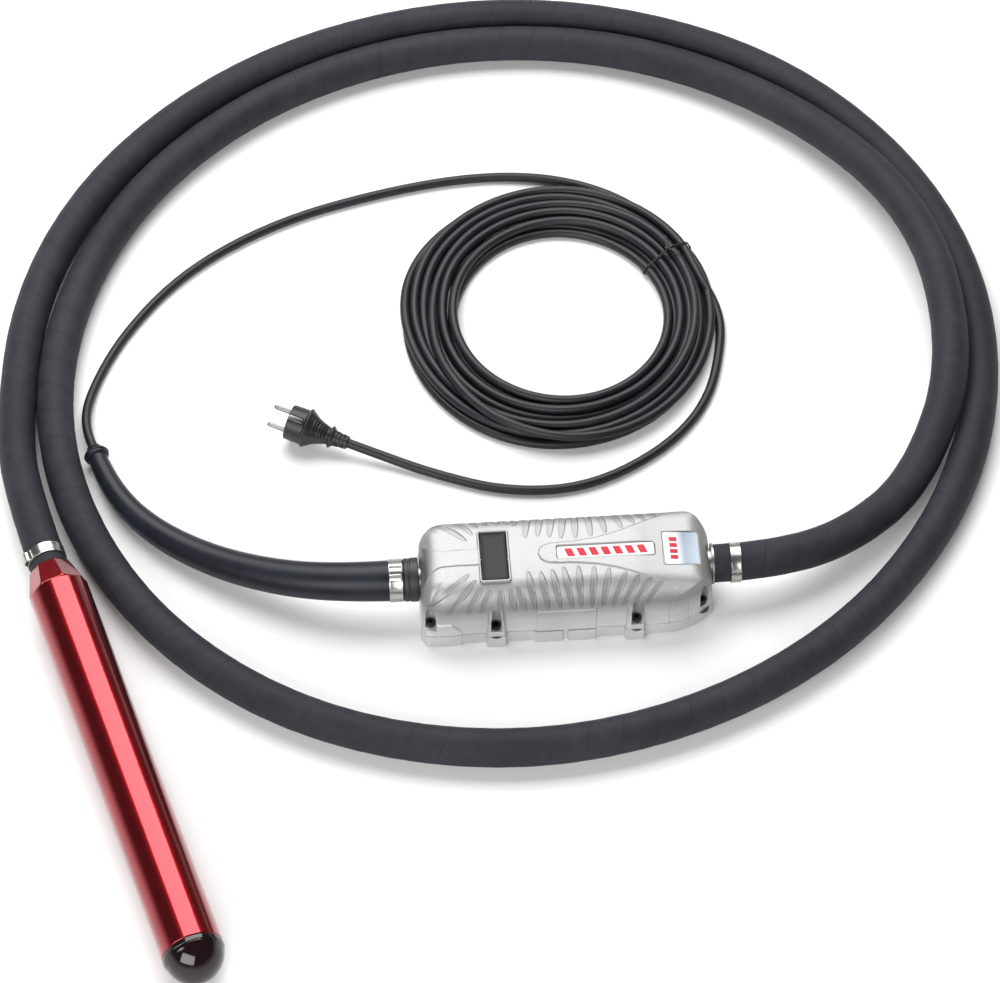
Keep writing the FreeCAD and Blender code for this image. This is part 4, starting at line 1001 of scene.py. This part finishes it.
def add_switch():
    """Cast bezel on the cover, and the rocker plate that tilts inside it."""
    bezel_levels = [(0.4, 70.0), (0.0, 74.6), (0.15, 75.6), (0.6, 76.2), (1.1, 76.4), (1.8, 76.35),
                    (2.2, 76.0), (2.35, 75.4), (2.4, 70.0)]
    bezel = stacked_plate("switch_bezel", (SWITCH_X, 0.0), (15.2, 30.4), 3.2, bezel_levels, closed=False)
    stands_for(bezel, "cast_aluminium")
    plate_levels = [(0.5, 72.4), (0.1, 72.8), (0.0, 73.4), (0.0, 74.5), (0.12, 74.85), (0.45, 75.1),
                    (0.9, 75.2), (1.3, 75.12), (1.7, 74.7), (2.0, 74.6), (6.0, 74.5)]
    plate = stacked_plate("rocker_plate", (SWITCH_X, 0.0), (12.0, 27.0), 1.6, plate_levels)
    hub = stacked_plate("rocker_hub", (SWITCH_X, 0.0), (8.0, 3.0), 0.8,
                        [(0.5, 67.2), (0.0, 67.8), (0.0, 72.4)])
    stands_for(plate, "rocker_plastic", "switch_rocker", body="rocker")
    stands_for(hub, "rocker_plastic", body="rocker")


def add_plates():
    """Badge and label inserts, blank apart from plain bars."""
    tilt = (Matrix.Translation((BADGE_X * MM, 0.0, BADGE_SEAT_Z * MM))
            @ Matrix.Rotation(-math.atan(BADGE_SLOPE), 4, "Y")
            @ Matrix.Translation((0.0, 0.0, 0.05 * MM)))
    badge = stacked_plate("badge_insert", (0.0, 0.0), BADGE_HALF, 2.0,
                          [(0.2, 0.0), (0.0, 0.2), (0.0, 0.7), (0.35, 1.0), (1.4, 1.0), (1.8, 0.8)])
    badge.data.transform(tilt)
    stands_for(badge, "badge", "badge_plate")
    for place in range(4):
        mark = stacked_plate("badge_bar_%d" % (place + 1), (-7.5, -10.5 + 7.0 * place), (3.6, 2.3), 0.4,
                             [(0.0, 0.7), (0.0, 0.9), (0.1, 0.95)])
        mark.data.transform(tilt)
        stands_for(mark, "badge", look="label_red")
    label = stacked_plate("label_strip", (38.5, 0.0), (46.2, 7.3), 1.6,
                          [(0.2, 74.1), (0.0, 74.3), (0.0, 74.6), (0.25, 74.8)])
    stands_for(label, "label", "label_insert")
    for place in range(7):
        bar = stacked_plate("label_bar_%d" % (place + 1), (0.0, 0.0), (3.4, 4.6), 0.6,
                            [(0.0, 74.75), (0.0, 74.95), (0.12, 75.0)])
        lean = Matrix(((1.0, -0.35, 0.0, (4.0 + 11.5 * place) * MM), (0.0, 1.0, 0.0, 0.0),
                       (0.0, 0.0, 1.0, 0.0), (0.0, 0.0, 0.0, 1.0)))
        bar.data.transform(lean)
        stands_for(bar, "label", look="label_red")


def add_collar():
    """Ribbed rubber collar where the tail hose meets the converter."""
    outline = [(15.4, 0.0), (19.6, 0.0)] + arc_points((19.6, 1.2), 1.2, -90, 0, 6)[1:]
    outline += [(20.8, 3.6)] + arc_points((20.8, 4.6), 0.7, -60, -120, 4) + [(20.4, 4.9), (20.4, 5.5)]
    outline += arc_points((20.3, 6.4), 0.9, -60, 0, 5) + [(21.2, 9.6)]
    outline += arc_points((20.2, 12.6), 1.0, 0, 80, 6) + [(19.2, 13.8), (15.4, 13.8)]
    matrix = along_matrix((-0.154, 0.0, 0.044), (1, 0, 0))
    collar = lathe("inlet_gaiter", outline, matrix, 128)
    stands_for(collar, "black_plastic", "inlet_collar")


def add_grommet():
    start = Vector(TAIL_ROUTE[-1])
    direction = Vector(SUPPLY_ROUTE[0]) - start
    length = direction.length / MM
    bore = CABLE_R / MM + 0.2
    outline = [(bore, 0.0), (9.4, 0.0), (10.6, 0.4), (11.8, 1.5)]
    outline += arc_points((11.2, 4.6), 1.5, -60, 60, 10)
    outline += [(11.4, 7.3), (10.6, 8.2), (9.2, 8.9), (8.2, 9.2), (7.4, 10.2), (7.0, length - 0.4),
                (6.6, length), (bore, length)]
    grommet = lathe("tail_end_ring", outline, along_matrix(start, direction), 96)
    return stands_for(grommet, "tail_rubber", "tail_grommet")


# ---------------------------------------------------------------- plug
# Height from the face and radius of the plug's turned form, in millimetres.
PLUG_OUTLINE = [
    (0.0, 16.4), (0.25, 17.0), (1.0, 17.6), (17.0, 17.9), (17.6, 18.4), (18.2, 19.6), (18.9, 20.3),
    (19.9, 20.4), (20.8, 19.8), (21.8, 18.6), (24.5, 16.4), (28.5, 13.6), (33.0, 11.7), (38.0, 10.0),
    (42.2, 8.7), (43.0, 8.9), (43.7, 10.2), (44.5, 11.2), (45.4, 11.3), (46.2, 10.6), (47.2, 9.2),
    (48.3, 8.4), (48.5, 8.2)]
PLUG_BODY_END = 48.5
PIN_REACH = 9.5                     # from the plug's axis to each pin's


def plug_radius(height, angle):
    """Turned outline with the two earth slots and the ribbed finger grips."""
    table = np.array(PLUG_OUTLINE)
    radius = float(np.interp(height, table[:, 0], table[:, 1]))
    flat = abs(math.sin(angle))
    if height < 15.2 and flat < 0.175:
        radius = min(radius, 16.0 / abs(math.cos(angle)))
    if 23.5 < height < 41.5 and flat < 0.62:
        edge = min((height - 23.5) / 0.8, (41.5 - height) / 0.8, (0.62 - flat) / 0.08, 1.0)
        rib = 0.5 + 0.5 * math.cos(2 * math.pi * (height - 23.5) / 3.0)
        radius -= edge * (1.1 - 0.95 * rib ** 2)
    if 17.2 < height < 22.5:
        radius -= 0.9 * (0.5 + 0.5 * math.cos(4 * angle))
    return radius


def relief_radius(height, angle):
    """Tapered bend relief with staggered notches."""
    along_relief = (height - PLUG_BODY_END) / 14.5
    radius = 8.0 - 1.4 * along_relief - 0.6 * max(0.0, along_relief - 0.93) / 0.07
    band = (height - 50.6) / 3.6
    inside_band = 0 <= band < 3 and (band % 1.0) < 0.5
    quarter = (math.degrees(angle) + 45.0 * (int(band) % 2)) % 90.0
    if inside_band and 14.0 < quarter < 76.0:
        radius -= 1.8 * min(1.0, (quarter - 14.0) / 5.0, (76.0 - quarter) / 5.0)
    return radius


def rounded_block(name, low, high, bevel, matrix):
    """Block with rounded edges, in millimetres about the matrix."""
    work = bmesh.new()
    bmesh.ops.create_cube(work, size=1.0)
    for vertex in work.verts:
        vertex.co = [((a + b) / 2 + t * (b - a)) * MM for a, b, t in zip(low, high, vertex.co)]
    bmesh.ops.bevel(work, geom=work.edges[:], offset=bevel * MM, segments=3, profile=0.5, affect="EDGES")
    mesh = bpy.data.meshes.new(name)
    work.to_mesh(mesh)
    work.free()
    mesh.transform(matrix)
    mesh.polygons.foreach_set("use_smooth", [True] * len(mesh.polygons))
    return linked(name, mesh)


def add_plug():
    """Two-pin earthed plug with its bend relief; returns its pieces."""
    corners = [height for height, radius in PLUG_OUTLINE]
    heights = np.unique(np.concatenate([np.linspace(0.0, PLUG_BODY_END, 120), corners]))
    body = round_grid("plug_shell", heights, plug_radius, PLUG_MATRIX, 288, 32.0)
    stands_for(body, "plug_rubber", "plug_body")
    relief_heights = np.linspace(PLUG_BODY_END, PLUG_LENGTH / MM, 73)
    relief = round_grid("plug_gland", relief_heights, relief_radius, PLUG_MATRIX, 96, 28.0)
    stands_for(relief, "plug_rubber", "plug_relief")
    pieces = [body, relief]
    for side, label in ((-1, "left"), (1, "right")):
        outline = [(0.0, -19.0)] + arc_points((0.0, -16.6), 2.4, -70, 0, 8)
        outline += [(2.4, -0.7), (2.0, -0.6), (2.0, 6.0), (0.0, 6.0)]
        offset = Matrix.Translation((0.0, side * PIN_REACH * MM, 0.0))
        pin = lathe("plug_pin_" + label, outline, PLUG_MATRIX @ offset, 48)
        stands_for(pin, "plug_metal", *(["plug_pins"] if side < 0 else []))
        strip = rounded_block("plug_earth_" + label, (15.95, -2.6, 0.5), (17.75, 2.6, 15.0), 0.45,
                              PLUG_MATRIX @ Matrix.Rotation(math.pi * (side > 0), 4, "Z"))
        stands_for(strip, "plug_metal", *(["plug_earth_clips"] if side < 0 else []))
        pieces += [pin, strip]
    return pieces


# ---------------------------------------------------------------- coil tie
def convex_outline(points):
    """Corner points of the convex outline, in order."""
    ordered = sorted(set(points))
    outline = []
    for line in (ordered, ordered[::-1]):
        half = []
        for point in line:
            while len(half) > 1 and ((half[-1][0] - half[-2][0]) * (point[1] - half[-2][1])
                                     <= (half[-1][1] - half[-2][1]) * (point[0] - half[-2][0])):
                half.pop()
            half.append(point)
        outline += half[:-1]
    return outline


def add_tie(cable_path):
    """Thin cord drawn tight round the coil's section, with a knot and two short ends."""
    outward = Vector((math.cos(TIE_ANGLE), math.sin(TIE_ANGLE), 0.0))
    side = Vector((-outward.y, outward.x, 0.0))
    tie_r = 0.0009
    around = []
    for point in cable_path:
        offset = point - COIL_CENTRE
        if abs(offset.dot(side)) < 0.004 and offset.dot(outward) > 0.09:
            around += [(round(offset.dot(outward) + (CABLE_R + tie_r) * math.cos(a), 5),
                        round(max(point.z + (CABLE_R + tie_r) * math.sin(a), tie_r), 5))
                       for a in np.arange(0.0, 2 * math.pi, math.pi / 12)]
    outline = convex_outline(around)
    loop = [COIL_CENTRE + outward * r + Vector((0, 0, z)) for r, z in outline + outline[:1]]
    tie = tube("tie_loop", respaced(loop, 0.0012), tie_r, 10)
    stands_for(tie, "tie_cord", "cable_tie")
    top = max(z for r, z in outline)
    knot_place = COIL_CENTRE + outward * (sum(r for r, z in outline) / len(outline)) + Vector((0, 0, top))
    angles = np.linspace(0.0, 4 * math.pi, 60)
    knot = [knot_place + outward * (0.0022 * math.cos(a)) + side * (0.0016 * math.sin(1.5 * a))
            + Vector((0, 0, 0.0009 + 0.0008 * math.sin(a))) for a in angles]
    turns = tube("tie_knot", knot, tie_r, 10)
    turns.parent = tie
    finish(turns, "tie_cord")
    for lean in (-1, 1):
        end = [knot_place + side * (lean * 0.013 * t) + outward * (0.006 * t * t)
               + Vector((0, 0, 0.001 + 0.005 * t * (1 - 0.7 * t))) for t in np.linspace(0.0, 1.0, 16)]
        tail = tube("tie_end_%d" % (lean + 2), end, tie_r, 10)
        tail.parent = tie
        finish(tail, "tie_cord")


# ---------------------------------------------------------------- more materials
def head_red():
    """Candy lacquer: clear coat over metallic red, with a faint orange-peel skin."""
    surface = Surface("head_red", (0.26, 0.005, 0.010), 0.25, 0.95, coat_weight=1.0, coat_roughness=0.045,
                      coat_ior=1.42)
    flake = surface.voronoi(1600.0)
    tone = surface.noise(22.0, 2.0)
    surface.colour(surface.mix(flake, tone, 0.35),
                   [(0.25, (0.22, 0.003, 0.007)), (0.75, (0.31, 0.006, 0.013))])
    surface.roughness(flake, 0.22, 0.28)
    surface.bump(surface.noise(260.0, 1.0), 0.00003, 0.15)


def tip_dark():
    """Hardened dark nose with a polished, faintly scuffed face."""
    surface = Surface("tip_dark", (0.006, 0.002, 0.002), 0.16, coat_weight=0.55, coat_roughness=0.05,
                      specular_ior_level=0.2)
    scuff = surface.noise(90.0, 6.0, 0.7, surface.place((1.0, 0.3, 1.0)))
    surface.colour(scuff, [(0.35, (0.005, 0.002, 0.002)), (0.7, (0.012, 0.003, 0.004))])
    surface.roughness(scuff, 0.08, 0.16)
    surface.bump(scuff, 0.00004, 0.2)


def cast_aluminium():
    """Blasted die casting: fine grain and cloudy tone, with painted shade along the fine groove lines and
    painted light and shade by height (lightest at the base, darkest on the shoulder, a little lighter on top).
    """
    surface = Surface("cast_aluminium", (0.5, 0.5, 0.49), 0.58, 0.85)
    grain = surface.voronoi(1500.0)
    fine = surface.noise(900.0, 3.0)
    clouds = surface.noise(16.0, 4.0)
    tone = surface.mix(fine, clouds, 0.45)
    # Painted light and shade by height above the parting plane: lightest at and below it, darkening up the wall
    # to the shoulder, a little lighter again on the top.
    above = surface.math("SUBTRACT", surface.split(surface.place())["Z"], PARTING_Z * MM)
    height = surface.math("DIVIDE", above, 0.050, clamp=True)
    # Painted shade: the colour is darkened by up to 62 % along the groove lines and step edges.
    marks = surface.nodes.new("ShaderNodeAttribute")
    marks.attribute_name = "painted_groove_shade"
    painted_shade_by_height = [(0.0, 1.0), (0.35, 0.86), (0.68, 0.50), (1.0, 0.58)]
    shade = surface.ramp(height, [(place, (grey, grey, grey)) for place, grey in painted_shade_by_height])
    groove_shade_factor = surface.math("MULTIPLY_ADD", marks.outputs["Fac"], -0.62, 1.0)
    spread = surface.math("MULTIPLY_ADD", tone, 0.55, 0.36)
    value = surface.math("MULTIPLY", spread, surface.math("MULTIPLY", shade, groove_shade_factor))
    surface.colour(value, [(0.0, (0.0, 0.0, 0.0)), (1.0, (1.0, 1.0, 0.98))])
    surface.roughness(clouds, 0.52, 0.64)
    surface.bump(grain, 0.00010, 0.35)
    surface.bump(fine, 0.00012, 0.45)


def clamp_steel():
    """Bright stainless band with drawn lines and small rub marks."""
    surface = Surface("clamp_steel", (0.72, 0.71, 0.69), 0.26, 1.0)
    drawn = surface.noise(1.0, 4.0, 0.7, surface.place((900.0, 60.0, 900.0)))
    rubs = surface.noise(60.0, 2.0)
    surface.colour(rubs, [(0.3, (0.42, 0.405, 0.38)), (0.7, (0.50, 0.485, 0.46))])
    surface.roughness(drawn, 0.24, 0.30)


def plug_rubber():
    """Matte moulded rubber with a sandy skin and dusty high spots."""
    surface = Surface("plug_rubber", (0.014, 0.015, 0.017), 0.42, specular_ior_level=0.4)
    skin = surface.noise(1100.0, 2.0)
    dust = surface.noise(70.0, 5.0)
    surface.colour(dust, [(0.35, (0.008, 0.009, 0.010)), (0.7, (0.018, 0.019, 0.021))])
    surface.roughness(dust, 0.34, 0.48)
    surface.bump(skin, 0.00008, 0.35)


def polished_metal(name, dark, light, rough_low, rough_high, scratch_scale):
    """Turned or ground metal: tone drifts slowly and fine scratches break up the gloss."""
    surface = Surface(name, light, rough_low, 1.0)
    scratches = surface.noise(scratch_scale, 5.0, 0.75, surface.place((1.0, 5.0, 1.0)))
    drift = surface.noise(35.0, 3.0)
    surface.colour(drift, [(0.3, dark), (0.7, light)])
    surface.roughness(scratches, rough_low, rough_high)
    surface.bump(scratches, 0.00003, 0.3)


def moulded_plastic(name, dark, light, rough_low, rough_high, grain_depth, specular=0.5):
    """Spark-eroded moulding: fine grain with a slow change of tone."""
    surface = Surface(name, light, rough_low, specular_ior_level=specular)
    grain = surface.noise(1400.0, 2.0)
    drift = surface.noise(40.0, 4.0)
    surface.colour(surface.mix(grain, drift, 0.3), [(0.3, dark), (0.7, light)])
    surface.roughness(drift, rough_low, rough_high)
    surface.bump(grain, grain_depth, 0.5)


def badge_finish():
    """Printed plate: near white, running into grey blue towards the hose end."""
    surface = Surface("badge", (0.6, 0.62, 0.65), 0.42, specular_ior_level=0.2)
    from_edge = surface.math("SUBTRACT", surface.split(surface.place())["X"], (BADGE_X - BADGE_HALF[0]) * MM)
    across = surface.math("DIVIDE", from_edge, 2 * BADGE_HALF[0] * MM)
    drift = surface.noise(300.0, 2.0)
    surface.colour(surface.math("MULTIPLY_ADD", drift, 0.06, across),
                   [(0.42, (0.66, 0.67, 0.68)), (0.62, (0.30, 0.36, 0.43)), (1.0, (0.42, 0.48, 0.55))])
    surface.roughness(drift, 0.36, 0.48)


def lamination():
    """Stacked electrical steel: thin sheets across the head's axis."""
    surface = Surface("lamination", (0.25, 0.25, 0.27), 0.42, 1.0)
    sheet = surface.nodes.new("ShaderNodeTexWave")
    sheet.inputs["Scale"].default_value = 300.0
    sheet.inputs["Distortion"].default_value = 0.4
    surface.links.new(surface.place(), sheet.inputs["Vector"])
    surface.colour(sheet.outputs["Fac"], [(0.2, (0.12, 0.12, 0.14)), (0.8, (0.34, 0.34, 0.36))])
    surface.roughness(surface.noise(200.0), 0.34, 0.55)
    surface.bump(sheet.outputs["Fac"], 0.0001, 0.5)


# Dark and light colour, lowest and highest roughness, grain depth in metres, specular level.
PLASTICS = {
    "tie_cord": ((0.010, 0.010, 0.011), (0.024, 0.024, 0.026), 0.35, 0.5, 0.00006),
    "gasket_rubber": ((0.03, 0.03, 0.03), (0.07, 0.07, 0.07), 0.6, 0.8, 0.0001),
    "rocker_plastic": ((0.016, 0.018, 0.020), (0.026, 0.028, 0.031), 0.45, 0.58, 0.00008, 0.2),
    "black_plastic": ((0.007, 0.0075, 0.009), (0.017, 0.018, 0.021), 0.4, 0.6, 0.00012),
    "board_green": ((0.006, 0.05, 0.022), (0.012, 0.10, 0.04), 0.3, 0.5, 0.00005),
    "terminal_plastic": ((0.16, 0.17, 0.18), (0.30, 0.31, 0.32), 0.4, 0.6, 0.0001),
    "label": ((0.66, 0.66, 0.67), (0.76, 0.76, 0.77), 0.4, 0.5, 0.00003, 0.2),
    "label_red": ((0.46, 0.02, 0.035), (0.60, 0.04, 0.06), 0.45, 0.6, 0.00003, 0.15)}

# Dark and light colour, lowest and highest roughness, scratches in each metre.
METALS = {
    "plug_metal": ((0.15, 0.147, 0.14), (0.24, 0.235, 0.225), 0.26, 0.36, 500.0),
    "black_steel": ((0.018, 0.018, 0.020), (0.05, 0.05, 0.055), 0.25, 0.45, 400.0),
    "bearing_steel": ((0.55, 0.55, 0.56), (0.74, 0.74, 0.75), 0.08, 0.2, 600.0),
    "machined_steel": ((0.22, 0.22, 0.225), (0.34, 0.34, 0.35), 0.3, 0.45, 300.0),
    "copper": ((0.45, 0.16, 0.07), (0.72, 0.30, 0.15), 0.25, 0.45, 250.0),
    "sink_aluminium": ((0.5, 0.5, 0.51), (0.7, 0.7, 0.71), 0.3, 0.5, 220.0)}


def make_materials():
    for make in (head_red, tip_dark, hose_rubber, tail_rubber, cable_rubber, clamp_steel, plug_rubber,
                 cast_aluminium, lamination, badge_finish):
        make()
    for name, values in PLASTICS.items():
        moulded_plastic(name, *values)
    for name, values in METALS.items():
        polished_metal(name, *values)


def finish_cad_nodes():
    """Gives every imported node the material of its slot."""
    for subpart in frame["record"]["subparts"]:
        node = bpy.data.objects[subpart["node"]]
        node.data.materials.clear()
        node.data.materials.append(MATERIALS[subpart["material_slot"]])


# ---------------------------------------------------------------- studio
def add_floor():
    half = 9.0
    corners = [(-half, -half, 0.0), (half, -half, 0.0), (half, half, 0.0), (-half, half, 0.0)]
    surface = Surface("floor_paper", (0.86, 0.86, 0.855), 0.9, specular_ior_level=0.2)
    tone = surface.noise(3.0, 2.0)
    surface.colour(tone, [(0.3, (0.85, 0.85, 0.845)), (0.7, (0.87, 0.87, 0.865))])
    floor = make_object("floor", corners, [(0, 1, 2, 3)])
    floor.data.materials.append(MATERIALS["floor_paper"])
    floor.location.z = -0.0002


def add_light(name, place, target, size, power):
    data = bpy.data.lights.new(name, "AREA")
    data.shape = "RECTANGLE"
    data.size, data.size_y = size
    data.energy = power
    light = linked(name, data)
    light.location = place
    light.rotation_euler = (Vector(target) - Vector(place)).to_track_quat("-Z", "Y").to_euler()


def add_studio():
    world = bpy.data.worlds.new("studio")
    bpy.context.scene.world = world
    world.use_nodes = True
    nodes, links = world.node_tree.nodes, world.node_tree.links
    coordinates = nodes.new("ShaderNodeTexCoord")
    split = nodes.new("ShaderNodeSeparateXYZ")
    sky = nodes.new("ShaderNodeValToRGB")
    sky.color_ramp.elements[0].position = 0.02
    sky.color_ramp.elements[0].color = (0.95, 0.95, 0.95, 1.0)
    sky.color_ramp.elements[1].position = 0.24
    sky.color_ramp.elements[1].color = (0.12, 0.12, 0.12, 1.0)
    links.new(coordinates.outputs["Generated"], split.inputs["Vector"])
    links.new(split.outputs["Z"], sky.inputs["Fac"])
    links.new(sky.outputs["Color"], nodes["Background"].inputs["Color"])
    add_light("overhead_softbox", (-0.25, 1.95, 2.75), (-0.1, 0.1, 0.0), (3.3, 2.9), 180.0)
    add_light("front_fill", (-1.6, -3.2, 2.2), (0.0, 0.1, 0.0), (3.4, 2.4), 170.0)
    bpy.context.scene.view_settings.view_transform = "Standard"


# ---------------------------------------------------------------- the whole scene
make_materials()
finish_cad_nodes()
add_camera()
add_hose()
tail, tail_path = add_tail()
cable, cable_path = add_cable()
grommet = add_grommet()
plug_pieces = add_plug()
add_tie(cable_path)
add_head_tube()
add_head_adapter()
add_head_tip()
for place in CLAMPS:
    add_clamp(*place)
add_upper_housing()
add_lower_housing()
add_switch()
add_plates()
add_collar()
add_floor()
add_studio()
